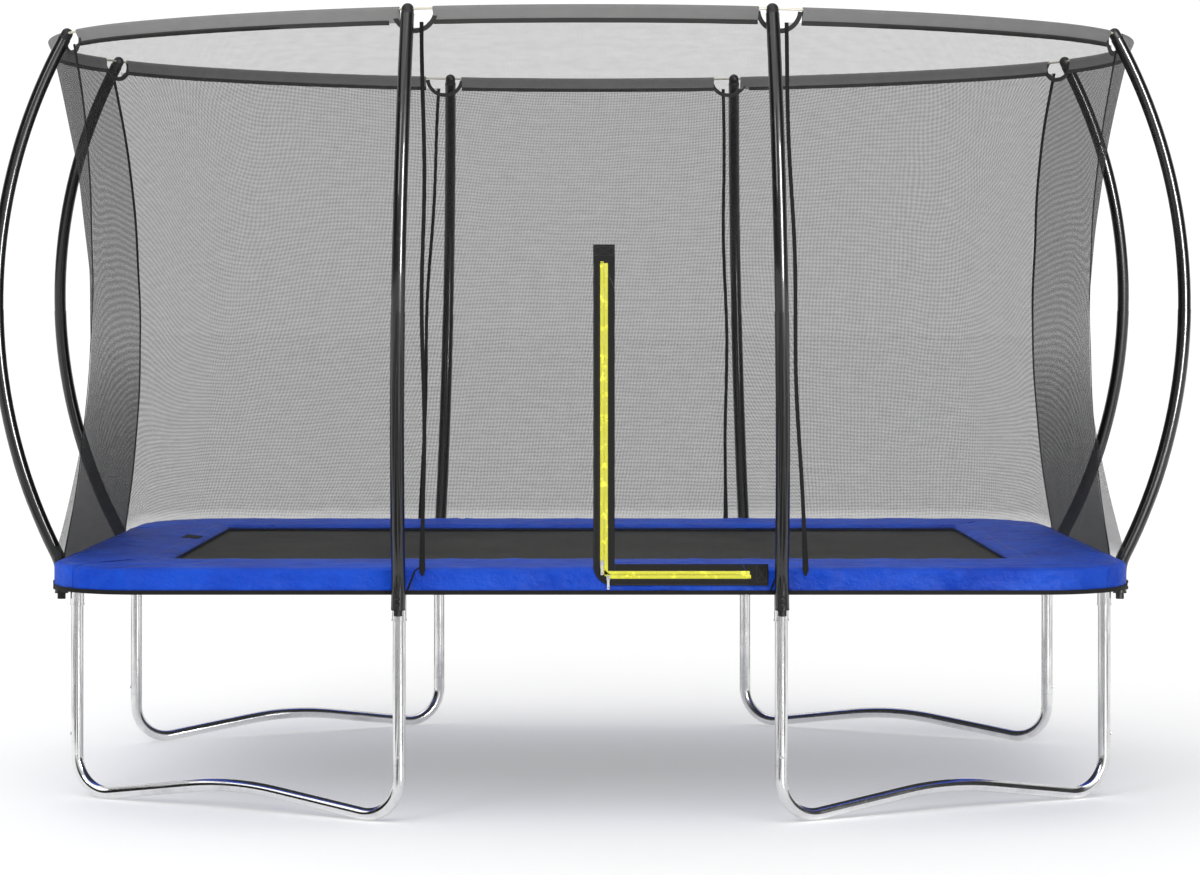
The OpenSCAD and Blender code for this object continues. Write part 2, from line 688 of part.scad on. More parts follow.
module net_corner(sx, sy) {
    color("gray", 0.6) difference() {
        corner_sheet(sx, sy);
        cap_windows(2);
    }
}

// Webbing down each seam
module net_seams() {
    push = net_t + seam_gap;
    color("black") for (face = [front, back, left, right], s = [0, 1]) rotate([0, 0, face]) {
        spread = seam_w / (4 * side_of(face)[2]);
        rows = [for (r = [-1 : net_rows - 1]) r];
        sheet(
            [for (r = rows, w = [-1, 0, 1]) side_point(face, s + w * spread, r, push)],
            [for (r = rows, w = [-1, 0, 1]) side_point(face, s + w * spread, r, push + web_t)], 2);
    }
}

// Straps that hold the lower edge of the net to the rails
module net_ties() {
    out = net_in + net_t;
    low = net_low_z - 0.2 - web_t;
    color("black") for (face = [front, back, left, right]) rotate([0, 0, face]) let (side = side_of(face))
        for (s = [-1, 1], i = [1, 3, 7]) translate([side[1], s * i * side[0] / springs_to_leg - tie_w / 2, 0])
            if (i * side[0] / springs_to_leg < (side[1] == rail_x ? rail_y : rail_x) - corner_r)
                translate([0, tie_w, 0]) rotate([90, 0, 0]) linear_extrude(tie_w) polygon([
                    [-web_t / 2, low], [out, low], [out, low + web_t], [web_t / 2, low + web_t],
                    [web_t / 2, rail_z - rail_r - 0.2], [-web_t / 2, rail_z - rail_r - 0.2]
                ]);
}

// Door: outlines in the XZ plane, cut through the front of the net. The flap is cut back along its zips and its hinge
module through_front() {
    rotate([90, 0, 0]) linear_extrude(2 * rail_y) children();
}

module flap_outline(inset, hinge_inset) {
    lean = hinge_inset * norm([zip_across_l, zip_up_l]) / (zip_across_l * zip_up_l);
    polygon([
        [zip_x + inset, zip_z + inset],
        [zip_x + zip_across_l * (1 - lean - inset / zip_up_l), zip_z + inset],
        [zip_x + inset, zip_z + zip_up_l * (1 - lean - inset / zip_across_l)]
    ]);
}

// L-shaped strip along both zips: half its width, and how far it runs past their far ends
module zip_outline(half, past) {
    polygon([
        [zip_x - half, zip_top_z + past], [zip_x - half, zip_z - half / 2], [zip_x - half / 2, zip_z - half],
        [zip_end_x + past, zip_z - half], [zip_end_x + past, zip_z + half], [zip_x + half, zip_z + half],
        [zip_x + half, zip_top_z + past]
    ]);
}

module front_net() {
    difference() {
        side_sheet(front, 0, net_t);
        through_front() flap_outline(0, 0);
    }
}

module net_front() {
    color("gray", 0.6) difference() {
        front_net();
        cap_windows(2);
    }
}

module door_flap() {
    color("gray", 0.6) intersection() {
        side_sheet(front, 0, net_t);
        through_front() flap_outline(net_cut, hinge_cut);
    }
}

module zip_tape_net() {
    color("black") difference() {
        intersection() {
            side_sheet(front, tape_push, web_t);
            through_front() zip_outline(zip_tape_w / 2, zip_past);
        }
        through_front() flap_outline(0, 0);
    }
}

module zip_tape_flap() {
    color("black") intersection() {
        side_sheet(front, tape_push, web_t);
        through_front() zip_outline(zip_tape_w / 2, zip_past);
        through_front() flap_outline(net_cut, hinge_cut);
    }
}

module zip_teeth_net() {
    color("yellow") difference() {
        intersection() {
            side_sheet(front, chain_push, chain_t);
            through_front() zip_outline(zip_chain_w / 2, chain_past);
        }
        through_front() flap_outline(0, 0);
    }
}

module zip_teeth_flap() {
    color("yellow") intersection() {
        side_sheet(front, chain_push, chain_t);
        through_front() zip_outline(zip_chain_w / 2, 0);
        through_front() flap_outline(net_cut, hinge_cut);
    }
}

// Sliders ride on the net's half of the chain, each with a pull that hangs from it
module slider(x, z) {
    translate([x, -rail_y - net_in - slider_push - slider_t, z]) difference() {
        union() {
            cube([slider_w, slider_t, slider_l]);
            translate([slider_w / 2 - 1.5, -3.6, slider_l / 2 - 5]) cube([3, 4.6, 10]);
        }
        translate([slider_w / 2 - 3, -1.6, slider_l / 2]) rotate([0, 90, 0]) cylinder(d = 2.6, h = 6, $fn = 24);
    }
}

module pull(x, z) {
    side_in = 1.9;
    translate([x + slider_w / 2, -rail_y - net_in - slider_push - slider_t - 1.6, z + slider_l / 2]) {
        rotate([0, 90, 0]) cylinder(d = 2.4, h = 5, center = true, $fn = 24);
        for (s = [-1, 1]) translate([s * (side_in + 0.6) - 0.6, -0.8, -9]) cube([1.2, 1.6, 9]);
        difference() {
            translate([-pull_w / 2, -0.8, -pull_l]) cube([pull_w, 1.6, pull_l - 7]);
            translate([0, 1, -pull_l + 6]) rotate([90, 0, 0]) cylinder(d = 4, h = 3, $fn = 24);
        }
    }
}

module zip_slider_up() {
    color("silver") slider(zip_x - 1 - slider_w, slider_up_z);
}

module zip_slider_across() {
    color("silver") slider(slider_across_x, zip_z - 1 - slider_l);
}

module zip_pull_up() {
    color("white") pull(zip_x - 1 - slider_w, slider_up_z);
}

module zip_pull_across() {
    color("white") pull(slider_across_x, zip_z - 1 - slider_l);
}

// Mat: a sheet with cut corners, a hem with loops, and the rings they hold
function mat_outline(grow) =
    let (x = mat_x + grow, y = mat_y + grow, c = mat_corner + grow * (2 - sqrt(2)))
    [[x, y - c], [x - c, y], [c - x, y], [-x, y - c], [-x, c - y], [c - x, -y], [x - c, -y], [x, c - y]];

module jump_mat() {
    color("#2c2c2a") translate([0, 0, mat_z]) linear_extrude(mat_t) polygon(mat_outline(0));
}

// Puts a piece at every spring of one side, its origin on the edge of the mat
module at_springs(face) {
    bend = ((face == front || face == back) ? rail_x : rail_y) - corner_r;
    leg = side_of(face)[0];
    rotate([0, 0, face]) for (s = [-1, 1], lat = spring_places(leg, 0, springs_to_bend(leg, bend)))
        translate([side_of(face)[1] - mat_reach, s * lat, 0]) children();
}

module at_corner_springs() {
    for (sx = [-1, 1], sy = [-1, 1])
        translate([sx * (rail_x - corner_r), sy * (rail_y - corner_r), 0]) rotate([0, 0, atan2(sy, sx)])
            translate([corner_r - mat_reach, 0, 0]) children();
}

module mat_loop() {
    low = mat_ring_z - 1.6;
    high = mat_ring_z + mat_ring_t + 1.6;
    translate([0, 10, 0]) rotate([90, 0, 0]) linear_extrude(20) difference() {
        polygon([[0.2, low], [ring_bar + 5, low], [ring_bar + 5, high], [0.2, high]]);
        polygon([
            [ring_bar - 2.6, low + 1.2], [ring_bar + 3.6, low + 1.2],
            [ring_bar + 3.6, high - 1.2], [ring_bar - 2.6, high - 1.2]
        ]);
    }
}

module mat_hem() {
    color("black") {
        translate([0, 0, mat_z + mat_t]) linear_extrude(hem_t) difference() {
            polygon(mat_outline(2));
            polygon(mat_outline(-hem_w));
        }
        for (face = [front, back, left, right]) at_springs(face) mat_loop();
        at_corner_springs() mat_loop();
    }
}

module mat_ring() {
    base = ring_bar - 1.6;
    tip = base + ring_h;
    wire = ring_wire;
    translate([0, 0, mat_ring_z]) linear_extrude(mat_ring_t) difference() {
        polygon([[base, -ring_w / 2], [tip, -ring_w / 4], [tip, ring_w / 4], [base, ring_w / 2]]);
        polygon([
            [base + wire, wire * 1.3 - ring_w / 2], [tip - wire, wire - ring_w / 4],
            [tip - wire, ring_w / 4 - wire], [base + wire, ring_w / 2 - wire * 1.3]
        ]);
    }
}

module mat_rings() {
    color("silver") {
        for (face = [front, back, left, right]) at_springs(face) mat_ring();
        at_corner_springs() mat_ring();
    }
}

// Spring from a mat ring to a hole in the rail: two hooks and the body of the coil
module spring_hook(x, drop) {
    translate([x, 0, hook_z - drop]) cylinder(r = wire_r, h = drop + wire_r, $fn = 24);
}

module spring_lead(from, to) {
    translate([from, 0, hook_z]) rotate([0, 90, 0]) cylinder(r = wire_r - lead_cut, h = to - from, $fn = 24);
}

module spring() {
    coil_from = ring_bar + ring_h + 6;
    coil_to = mat_reach - sleeve_r - 6;
    spring_hook(hook_in, 12);
    spring_lead(hook_in, coil_from + 3);
    translate([coil_from, 0, hook_z + wire_r - spring_d / 2]) rotate([0, 90, 0])
        tube(spring_d / 2, coil_to - coil_from, wire_d, $fn = 32);
    spring_lead(coil_to - 3, mat_reach);
    spring_hook(mat_reach, 14);
}

module springs_long_sides() {
    color("silver") for (face = [front, back]) at_springs(face) spring();
}

module springs_short_sides() {
    color("silver") {
        for (face = [left, right]) at_springs(face) spring();
        at_corner_springs() spring();
    }
}

// Pads: foam slabs that meet at the corners, each with a skirt down its outer edge
function pad_arc(sx, r, from, to) = [
    for (i = [0 : 6]) let (a = blend(from, to, i / 6))
        [sx * (rail_x - corner_r) + r * cos(a), rail_y - corner_r + r * sin(a)]
];

// Outer edge of a long pad and of a short pad, anticlockwise, both drawn facing the back
function long_edge(r) = concat(pad_arc(1, r, 45, 90), pad_arc(-1, r, 90, 135));
function short_edge(r) = let (x = rail_x - corner_r, y = rail_y - corner_r) concat(
    [for (i = [0 : 6]) let (a = -pad_turn + i / 6 * pad_turn) [x + r * cos(a), r * sin(a) - y]],
    [for (i = [0 : 6]) let (a = i / 6 * pad_turn) [x + r * cos(a), r * sin(a) + y]]);

module pad(outer, inner, opening) {
    n = len(outer);
    color("royalblue") {
        translate([0, 0, pad_z]) linear_extrude(pad_t) polygon(concat(outer, opening));
        translate([0, 0, skirt_z]) linear_extrude(pad_z - skirt_z + 1)
            polygon(concat(outer, [for (i = [n - 1 : -1 : 0]) inner[i]]));
    }
}

module long_pad() {
    x = rail_x - pad_reach_x;
    y = rail_y - pad_reach_y;
    pad(long_edge(corner_r + skirt_out), long_edge(corner_r + skirt_in), [[-x, y], [x, y]]);
}

module short_pad() {
    x = rail_x - pad_reach_x;
    y = rail_y - pad_reach_y - lay_gap;
    pad(short_edge(corner_r + skirt_out), short_edge(corner_r + skirt_in), [[x, y], [x, -y]]);
}

module pad_front() {
    rotate([0, 0, 180]) long_pad();
}

module pad_back() {
    long_pad();
}

module pad_left() {
    rotate([0, 0, 180]) short_pad();
}

module pad_right() {
    short_pad();
}

// Straps that hold the pads down round the rails
module pad_straps() {
    width = 18;
    color("black") for (face = [front, back, left, right]) rotate([0, 0, face]) let (side = side_of(face))
        for (s = [-1, 1], i = [2, 4, 8]) let (lat = i * side[0] / springs_to_leg)
            if (lat < (side[1] == rail_x ? rail_y : rail_x) - corner_r) translate([side[1], s * lat, 0]) {
                translate([0, -width / 2, rail_z]) rotate([-90, 0, 0]) tube(rail_r + 1.6, width, 1.4);
                translate([-4, -width / 2, rail_z + rail_r + 0.6]) cube([8, width, pad_z - rail_z - rail_r - 0.8]);
            }
}

rail(front);  // rail_front
rail(back);  // rail_back
rail(left);  // rail_left
rail(right);  // rail_right
corner(-1, -1);  // corner_front_left
corner(1, -1);  // corner_front_right
corner(-1, 1);  // corner_back_left
corner(1, 1);  // corner_back_right
leg_sockets();
legs();
base(-1, -1);  // base_front_left
base(1, -1);  // base_front_right
base(-1, 1);  // base_back_left
base(1, 1);  // base_back_right
base_screws();
poles_lower(front);  // poles_lower_front
poles_lower(back);  // poles_lower_back
poles_lower(left);  // poles_lower_left
poles_lower(right);  // poles_lower_right
poles_upper(front);  // poles_upper_front
poles_upper(back);  // poles_upper_back
poles_upper(left);  // poles_upper_left
poles_upper(right);  // poles_upper_right
pole_caps();
pole_plugs();
pole_spacers();
pole_bolts();
pole_nuts();
ring_rods();
ring_ferrules();
net_band();
net_front();
net_side(back);  // net_back
net_side(left);  // net_left
net_side(right);  // net_right
net_corner(-1, -1);  // net_front_left
net_corner(1, -1);  // net_front_right
net_corner(-1, 1);  // net_back_left
net_corner(1, 1);  // net_back_right
net_seams();
net_ties();
door_flap();
zip_tape_net();
zip_tape_flap();
zip_teeth_net();
zip_teeth_flap();
zip_slider_up();
zip_slider_across();
zip_pull_up();
zip_pull_across();
jump_mat();
mat_hem();
mat_rings();
springs_long_sides();
springs_short_sides();
pad_front();
pad_back();
pad_left();
pad_right();
pad_straps();
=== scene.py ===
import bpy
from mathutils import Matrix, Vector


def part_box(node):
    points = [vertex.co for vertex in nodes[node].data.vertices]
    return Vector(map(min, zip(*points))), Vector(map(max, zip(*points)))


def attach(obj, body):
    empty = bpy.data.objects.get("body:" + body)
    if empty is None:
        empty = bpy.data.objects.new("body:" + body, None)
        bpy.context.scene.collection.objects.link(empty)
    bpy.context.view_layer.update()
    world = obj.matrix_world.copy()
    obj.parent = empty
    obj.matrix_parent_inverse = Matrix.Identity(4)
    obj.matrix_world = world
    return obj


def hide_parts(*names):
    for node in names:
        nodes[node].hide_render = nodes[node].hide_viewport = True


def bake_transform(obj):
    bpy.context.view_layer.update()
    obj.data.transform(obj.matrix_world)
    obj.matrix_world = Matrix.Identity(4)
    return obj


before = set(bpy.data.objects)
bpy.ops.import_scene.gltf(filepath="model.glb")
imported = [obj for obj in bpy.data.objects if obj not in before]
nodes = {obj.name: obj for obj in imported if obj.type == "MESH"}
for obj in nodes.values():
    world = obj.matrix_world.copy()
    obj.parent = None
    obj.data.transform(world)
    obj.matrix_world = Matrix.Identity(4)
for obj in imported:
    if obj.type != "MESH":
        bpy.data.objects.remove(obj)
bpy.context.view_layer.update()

import math

import bpy
import numpy as np
from mathutils import Euler, Matrix, Vector

scene = bpy.context.scene


class Wire:
    # the output of a node, which can stand in a sum
    def __init__(self, tree, socket):
        self.tree, self.socket = tree, socket

    def maths(self, operation, *values):
        return addNode(self.tree, "ShaderNodeMath", {"operation": operation}, dict(enumerate(values)))

    def __add__(self, other):
        return self.maths("ADD", self, other)

    __radd__ = __add__

    def __sub__(self, other):
        return self.maths("SUBTRACT", self, other)

    def __rsub__(self, other):
        return self.maths("SUBTRACT", other, self)

    def __mul__(self, other):
        return self.maths("MULTIPLY", self, other)

    __rmul__ = __mul__

    def wave(self):
        return self.maths("SINE", self)

    def size(self):
        return self.maths("ABSOLUTE", self)


def addNode(tree, kind, settings=None, values=None, out=0):
    node = tree.nodes.new(kind)
    for key, value in (settings or {}).items():
        if key == "stops":
            first, *between, last = value
            for element, (place, shade) in zip(node.color_ramp.elements, (first, last)):
                element.position, element.color = place, (*shade, 1)
            for place, shade in between:
                node.color_ramp.elements.new(place).color = (*shade, 1)
        else:
            setattr(node, key, value)
    for key, value in (values or {}).items():
        if isinstance(value, Wire):
            tree.links.new(value.socket, node.inputs[key])
        else:
            node.inputs[key].default_value = value
    return Wire(tree, node.outputs[out])


class Finish:
    # a material with one Principled shader; fixed values go straight on its sockets
    def __init__(self, name, **fixed):
        self.material = bpy.data.materials.new(name)
        self.material.use_nodes = True
        self.tree = self.material.node_tree
        self.shader = self.tree.nodes["Principled BSDF"]
        for key, value in fixed.items():
            label = {"colour": "Base Color", "metal": "Metallic", "rough": "Roughness", "coat": "Coat Weight",
                     "coatRough": "Coat Roughness", "sheen": "Sheen Weight", "sheenRough": "Sheen Roughness",
                     "gloss": "Specular IOR Level"}[key]
            self.shader.inputs[label].default_value = (*value, 1) if key == "colour" else value
        self.place = self.node("ShaderNodeTexCoord", out="Object")

    def node(self, kind, settings=None, values=None, out=0):
        return addNode(self.tree, kind, settings, values, out)

    def noise(self, scale, detail=3, rough=0.5, stretch=(1, 1, 1), place=None):
        at = self.node("ShaderNodeMapping", {}, {"Vector": place or self.place, "Scale": stretch})
        return self.node("ShaderNodeTexNoise", {},
                         {"Vector": at, "Scale": scale, "Detail": detail, "Roughness": rough})

    def spread(self, value, low, high, start=0.0, end=1.0):
        return self.node("ShaderNodeMapRange", {}, {0: value, 1: low, 2: high, 3: start, 4: end})

    def mixed(self, share, first, second):
        return self.node("ShaderNodeMix", {"data_type": "RGBA"},
                         {0: share, 6: (*first, 1) if isinstance(first, tuple) else first,
                          7: (*second, 1) if isinstance(second, tuple) else second}, 2)

    def along(self):
        # a piece's own cloth coordinates, in metres
        at = self.node("ShaderNodeUVMap", {"uv_map": "cloth"})
        u = self.node("ShaderNodeSeparateXYZ", {}, {0: at}, 0)
        v = Wire(self.tree, u.socket.node.outputs[1])
        return at, u, v

    def feed(self, **links):
        for key, value in links.items():
            label = {"colour": "Base Color", "rough": "Roughness", "alpha": "Alpha", "metal": "Metallic"}[key]
            self.tree.links.new(value.socket, self.shader.inputs[label])

    def bump(self, height, depth, strength=1.0, under=None):
        values = {"Height": height, "Distance": depth, "Strength": strength}
        if under is not None:
            values["Normal"] = under
        normal = self.node("ShaderNodeBump", {}, values)
        self.tree.links.new(normal.socket, self.shader.inputs["Normal"])
        return normal


def makeSteel(name, bright=0.85, rough=0.07):
    # rolled and zinc-plated tube: fine spangle and a few dull patches, with dark upright streaks in its colour that
    # are painted reflection; the same streaks also roughen and bump it
    f = Finish(name, metal=1.0)
    patches = f.noise(7, 4, 0.6)
    streaks = f.noise(90, 2, 0.5, (1, 1, 0.06))
    spangle = f.node("ShaderNodeTexVoronoi", {"feature": "F1"}, {"Vector": f.place, "Scale": 160}, 0)
    dull = f.spread(patches, 0.48, 0.7)
    # the streaks' darkening of the colour is painted reflection of dark surroundings; the dull patches are the zinc's
    # own
    f.feed(colour=f.mixed(dull * 0.5 + streaks * 0.25, (bright, bright, bright), (bright * 0.6,) * 3),
           rough=rough + dull * 0.12 + spangle * 0.05 + streaks * 0.05)
    f.bump(streaks * 0.6 + spangle * 0.4, 0.0002, 0.35)
    return f.material


def makePowderCoat(name):
    # black stove paint with orange peel and pale rubs
    f = Finish(name, coat=0.7, coatRough=0.07, gloss=0.4)
    peel = f.noise(420, 2)
    rubs = f.spread(f.noise(16, 5, 0.65), 0.6, 0.72)
    f.feed(colour=f.mixed(rubs, (0.004, 0.004, 0.004), (0.018, 0.018, 0.019)), rough=0.27 + rubs * 0.14 + peel * 0.05)
    f.bump(peel, 0.00012, 0.35)
    return f.material


def makeMoulding(name, colour=(0.008, 0.008, 0.008), rough=0.42):
    f = Finish(name, gloss=0.4)
    grain = f.noise(900, 2)
    marks = f.noise(35, 4, 0.6)
    f.feed(colour=f.mixed(f.spread(marks, 0.55, 0.75), colour, tuple(c * 1.9 + 0.01 for c in colour)),
           rough=rough + marks * 0.1)
    f.bump(grain, 0.0002, 0.4)
    return f.material


def makeRod(name):
    # drawn fibreglass: pale with long fibres
    f = Finish(name, gloss=0.6, coat=0.3, coatRough=0.2)
    fibres = f.noise(260, 3, 0.6, (0.2, 1, 1))
    f.feed(colour=f.mixed(fibres, (0.72, 0.66, 0.5), (0.86, 0.82, 0.7)), rough=0.34 + fibres * 0.1)
    f.bump(fibres, 0.0002, 0.4)
    return f.material


def makeNetting(name, cover, foot, pitch=0.0026):
    # knitted net: rows of round holes between threads, closer together or wider apart near its foot
    f = Finish(name, gloss=0.1)
    at, u, v = f.along()
    turn = 2 * math.pi / pitch
    waver = f.noise(3, 3, 0.6, place=at)
    across = (u * turn + waver * 9).wave()
    down = (v * turn * 0.85 + waver * 7).wave()
    hole = across + down
    thick = f.noise(60, 3, 0.6, (0.25, 1, 1), at) * 0.5 - 0.25
    gather = f.spread(v, foot[0], foot[1], foot[2], 0.0)
    f.feed(alpha=f.spread(hole + thick - gather, cover - 1.4, cover + 1.4, 0.93, 0.0),
           colour=f.mixed(f.noise(60, 2, place=at), (0.012, 0.012, 0.012), (0.03, 0.03, 0.029)),
           rough=0.62 + waver * 0.2)
    f.bump(hole, 0.0002, 0.2)
    return f.material


def makeWebbing(name, colour=(0.006, 0.006, 0.006), pale=(0.02, 0.02, 0.02), pitch=0.0018, rough=0.66, creases=0.4):
    # close plain weave on a piece's cloth coordinates
    f = Finish(name, gloss=0.12, sheen=0.04, sheenRough=0.4)
    at, u, v = f.along()
    turn = 2 * math.pi / pitch
    weave = (u * turn).wave() * (v * turn).wave()
    rib = (u * turn * 0.5 + v * turn * 0.5).wave().size()
    folds = f.noise(14, 4, 0.6, place=at)
    f.feed(colour=f.mixed(f.spread(weave, -1, 1) * 0.55 + folds * 0.45, colour, pale), rough=rough + folds * 0.15)
    first = f.bump(folds, 0.002, creases)
    f.bump(weave * 0.7 + rib * 0.3, 0.00035, 0.6, first)
    return f.material


def makeMatCloth(name):
    # woven polypropylene: slanting ribs, worn paler in broad patches, dusty in smaller patches, soft creases
    f = Finish(name, gloss=0.1, sheen=0.04, sheenRough=0.5)
    at, u, v = f.along()
    turn = 2 * math.pi / 0.0032
    rib = (u * turn + v * turn * 0.6).wave()
    pick = (v * turn * 1.6 - u * turn * 0.3).wave()
    worn = f.noise(2.2, 5, 0.62, place=at)
    dust = f.spread(f.noise(9, 6, 0.7, place=at), 0.5, 0.78)
    tone = f.mixed(f.spread(worn, 0.35, 0.7), (0.03, 0.03, 0.028), (0.075, 0.075, 0.07))
    tone = f.mixed(dust * 0.35, tone, (0.1, 0.1, 0.092))
    f.feed(colour=f.mixed(f.spread(rib, -1, 1) * 0.3, tone, (0.016, 0.016, 0.015)), rough=0.5 + worn * 0.22)
    first = f.bump(f.noise(3.5, 4, 0.55, place=at), 0.01, 0.25)
    f.bump(rib * 0.6 + pick * 0.4, 0.0005, 0.5, first)
    return f.material


def makePadCover(name):
    # coated blue cover: fine weave under the gloss, small creases and soft folds, with painted shade darkening the
    # blue along the creases
    f = Finish(name, gloss=0.12)
    at, u, v = f.along()
    turn = 2 * math.pi / 0.0024
    weave = (u * turn).wave() * (v * turn).wave()
    soft = f.noise(3.2, 4, 0.55, (1, 1.6, 1), at)
    creases = f.node("ShaderNodeTexNoise", {"noise_type": "RIDGED_MULTIFRACTAL"},
                     {"Vector": at, "Scale": 7, "Detail": 4, "Roughness": 0.5, "Distortion": 0.6})
    crinkle = f.noise(42, 4, 0.6, place=at)
    rubbed = f.spread(f.noise(6, 5, 0.7, place=at), 0.5, 0.8)
    tone = f.mixed(f.spread(soft, 0.3, 0.7), (0.003, 0.058, 0.62), (0.012, 0.125, 0.92))
    tone = f.mixed(rubbed * 0.5, tone, (0.04, 0.18, 1.0))
    # the colour turns dark blue along the crease ridges: painted shade in the creases
    f.feed(colour=f.mixed(f.spread(creases, 0.5, 1.2) * 0.8, tone, (0.002, 0.03, 0.36)),
           rough=0.36 + soft * 0.14 + crinkle * 0.08)
    first = f.bump(creases * 0.5 + soft * 0.5, 0.045, 0.95)
    second = f.bump(crinkle, 0.007, 0.8, first)
    f.bump(weave, 0.0003, 0.35, second)
    return f.material


print("finishes")
steel = makeSteel("galvanised tube")
bolt = makeSteel("bright zinc", 0.72, 0.2)
blackBolt = makeSteel("black zinc", 0.05, 0.3)
springWire = makeSteel("spring wire", 0.6, 0.3)
polePaint = makePowderCoat("black pole")
moulding = makeMoulding("black moulding")
rod = makeRod("fibreglass rod")
netting = makeNetting("knitted net", -0.2, (0.07, 0.13, -1.5))
closeNetting = makeNetting("gathered net", 0.7, (0.0, 0.8, 2.4))
bandCloth = makeWebbing("band cloth", (0.2, 0.2, 0.2), (0.34, 0.34, 0.335), 0.0024, 0.8)
binding = makeWebbing("binding", (0.03, 0.03, 0.03), (0.075, 0.075, 0.073), 0.0018, 0.75)
webbing = makeWebbing("black webbing")
matCloth = makeMatCloth("woven mat")
padCover = makePadCover("blue cover")
zipCloth = makeWebbing("zip tape", (0.011, 0.011, 0.011), (0.026, 0.026, 0.026), 0.0014)
zipYellow = makeMoulding("yellow teeth", (0.86, 0.84, 0.06), 0.35)
pullWhite = makeMoulding("white pull", (0.72, 0.72, 0.7), 0.3)
thread = makeMoulding("thread", (0.05, 0.05, 0.05), 0.7)
paleThread = makeMoulding("pale thread", (0.3, 0.32, 0.4), 0.7)


def makePiece(name, points, faces, material, cloth=None, sharp=40):
    mesh = bpy.data.meshes.new(name)
    mesh.from_pydata([tuple(map(float, p)) for p in points], [], [tuple(map(int, f)) for f in faces])
    mesh.update()
    mesh.shade_smooth()
    mesh.set_sharp_from_angle(angle=math.radians(sharp))
    if cloth is not None:
        corner = np.zeros(len(mesh.loops), int)
        mesh.loops.foreach_get("vertex_index", corner)
        places = np.asarray(cloth, float).reshape(-1, 2)[corner]
        mesh.uv_layers.new(name="cloth").data.foreach_set("uv", places.ravel())
    mesh.materials.append(material)
    piece = bpy.data.objects.new(name, mesh)
    scene.collection.objects.link(piece)
    return piece


def rideOn(piece, body, slot, *replaced):
    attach(piece, body)
    if replaced:
        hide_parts(*replaced)
    return piece


def gridFaces(rows, cols, start=0, flip=False, ring=False):
    faces = []
    for r in range(rows - 1):
        for c in range(cols if ring else cols - 1):
            d = (c + 1) % cols
            low, high = start + r * cols, start + (r + 1) * cols
            quad = (low + c, low + d, high + d, high + c)
            faces.append(quad[::-1] if flip else quad)
    return faces


def skinFaces(rows, cols, inward=False):
    # faces of a closed patch: two skins of a grid and the rim between them
    count = rows * cols
    faces = gridFaces(rows, cols, flip=not inward) + gridFaces(rows, cols, start=count, flip=inward)
    rim = [(0, c) for c in range(cols)] + [(r, cols - 1) for r in range(1, rows)]
    rim += [(rows - 1, c) for c in range(cols - 2, -1, -1)] + [(r, 0) for r in range(rows - 2, 0, -1)]
    rim = [r * cols + c for r, c in rim]
    for a, b in zip(rim, rim[1:] + rim[:1]):
        faces.append((b, a, a + count, b + count) if inward else (a, b, b + count, a + count))
    return faces


def joined(parts):
    # several (points, faces, cloth) as one
    points, faces, cloth, count = [], [], [], 0
    for p, f, c in parts:
        points += list(p)
        faces += [tuple(i + count for i in face) for face in f]
        cloth += list(c)
        count += len(p)
    return points, faces, cloth


def swept(rings, cloth=None, closed=False):
    # rows of cross-sections, each a closed loop, joined into a skin with end caps
    rows, cols = len(rings), len(rings[0])
    points = [p for ring in rings for p in ring]
    faces = gridFaces(rows, cols, ring=True)
    if closed:
        last = (rows - 1) * cols
        faces += [(last + c, last + (c + 1) % cols, (c + 1) % cols, c) for c in range(cols)]
    else:
        faces += [tuple(range(cols))[::-1], tuple((rows - 1) * cols + c for c in range(cols))]
    return points, faces, cloth if cloth is not None else [(0, 0)] * len(points)


# Sides: each has its own frame, outwards, along and up
turns = {"right": 0, "back": 90, "left": 180, "front": -90}
railX = sum(c.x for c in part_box("rail_right")) / 2
railY = sum(c.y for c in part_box("rail_back")) / 2
railZ = sum(c.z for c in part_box("rail_back")) / 2
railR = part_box("rail_back")[1].z - railZ
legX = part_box("rail_back")[1].x - 0.038
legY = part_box("rail_right")[1].y - 0.038
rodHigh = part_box("ring_rods")[1]
ringZ = sum(c.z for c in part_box("ring_rods")) / 2
rodR = rodHigh.z - ringZ
bendR = 0.3

net = {
    "endRadius": 1.13,  # of the ring's two ends
    "capX": 0.585, "capY": 0.55,  # pole caps from the middle of a side
    "line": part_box("pad_back")[1].y - railY + 0.0017,  # outwards of the rails, at the foot
    "low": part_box("net_back")[0].z,
    "bend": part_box("pad_back")[1].z + 0.004,
    "top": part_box("net_band")[0].z + 0.002,
    "waist": 0.085,
    "shiftTop": 0.045, "shiftLow": 0.077,
    "step": 0.017,
    "ripple": 0.0022,
}
zipper = {
    "x": 0.045, "z": railZ + 0.023, "up": 1.017, "across": 0.478,
    "tape": 0.035, "past": 0.056, "corner": 0.03,
    "chain": 0.0125, "pitch": 0.0052,
    "tapeAt": (0.0016, 0.0028), "chainAt": (0.0028, 0.0034), "toothH": 0.0024,
}


def isLong(side):
    return side in ("front", "back")


def sideOf(side):
    # leg along, rail out, cap along
    return (legX, railY, net["capX"]) if isLong(side) else (legY, railX, net["capY"])


def placed(side, out, along, z):
    c, s = math.cos(math.radians(turns[side])), math.sin(math.radians(turns[side]))
    out, along, z = np.broadcast_arrays(np.asarray(out, float), along, z)
    return np.stack([out * c - along * s, out * s + along * c, z], -1)


ringX, ringY = rodHigh.x - rodR, rodHigh.y - rodR
endX = ringX - net["endRadius"]
sideR = (endX ** 2 + ringY ** 2 - net["endRadius"] ** 2) / (2 * (ringY - net["endRadius"]))
sideY = sideR - ringY
ringTurn = math.atan2(endX, sideY)


def ringOut(side, along):
    if isLong(side):
        return np.sqrt(sideR ** 2 - np.asarray(along) ** 2) - sideY
    return endX + np.sqrt(net["endRadius"] ** 2 - np.asarray(along) ** 2)


def rise(z):
    return np.clip((np.asarray(z, float) - net["bend"]) / (ringZ - net["bend"]), 0, 1)


def drawIn(v):
    return 4 * net["waist"] * v * (1 - v)


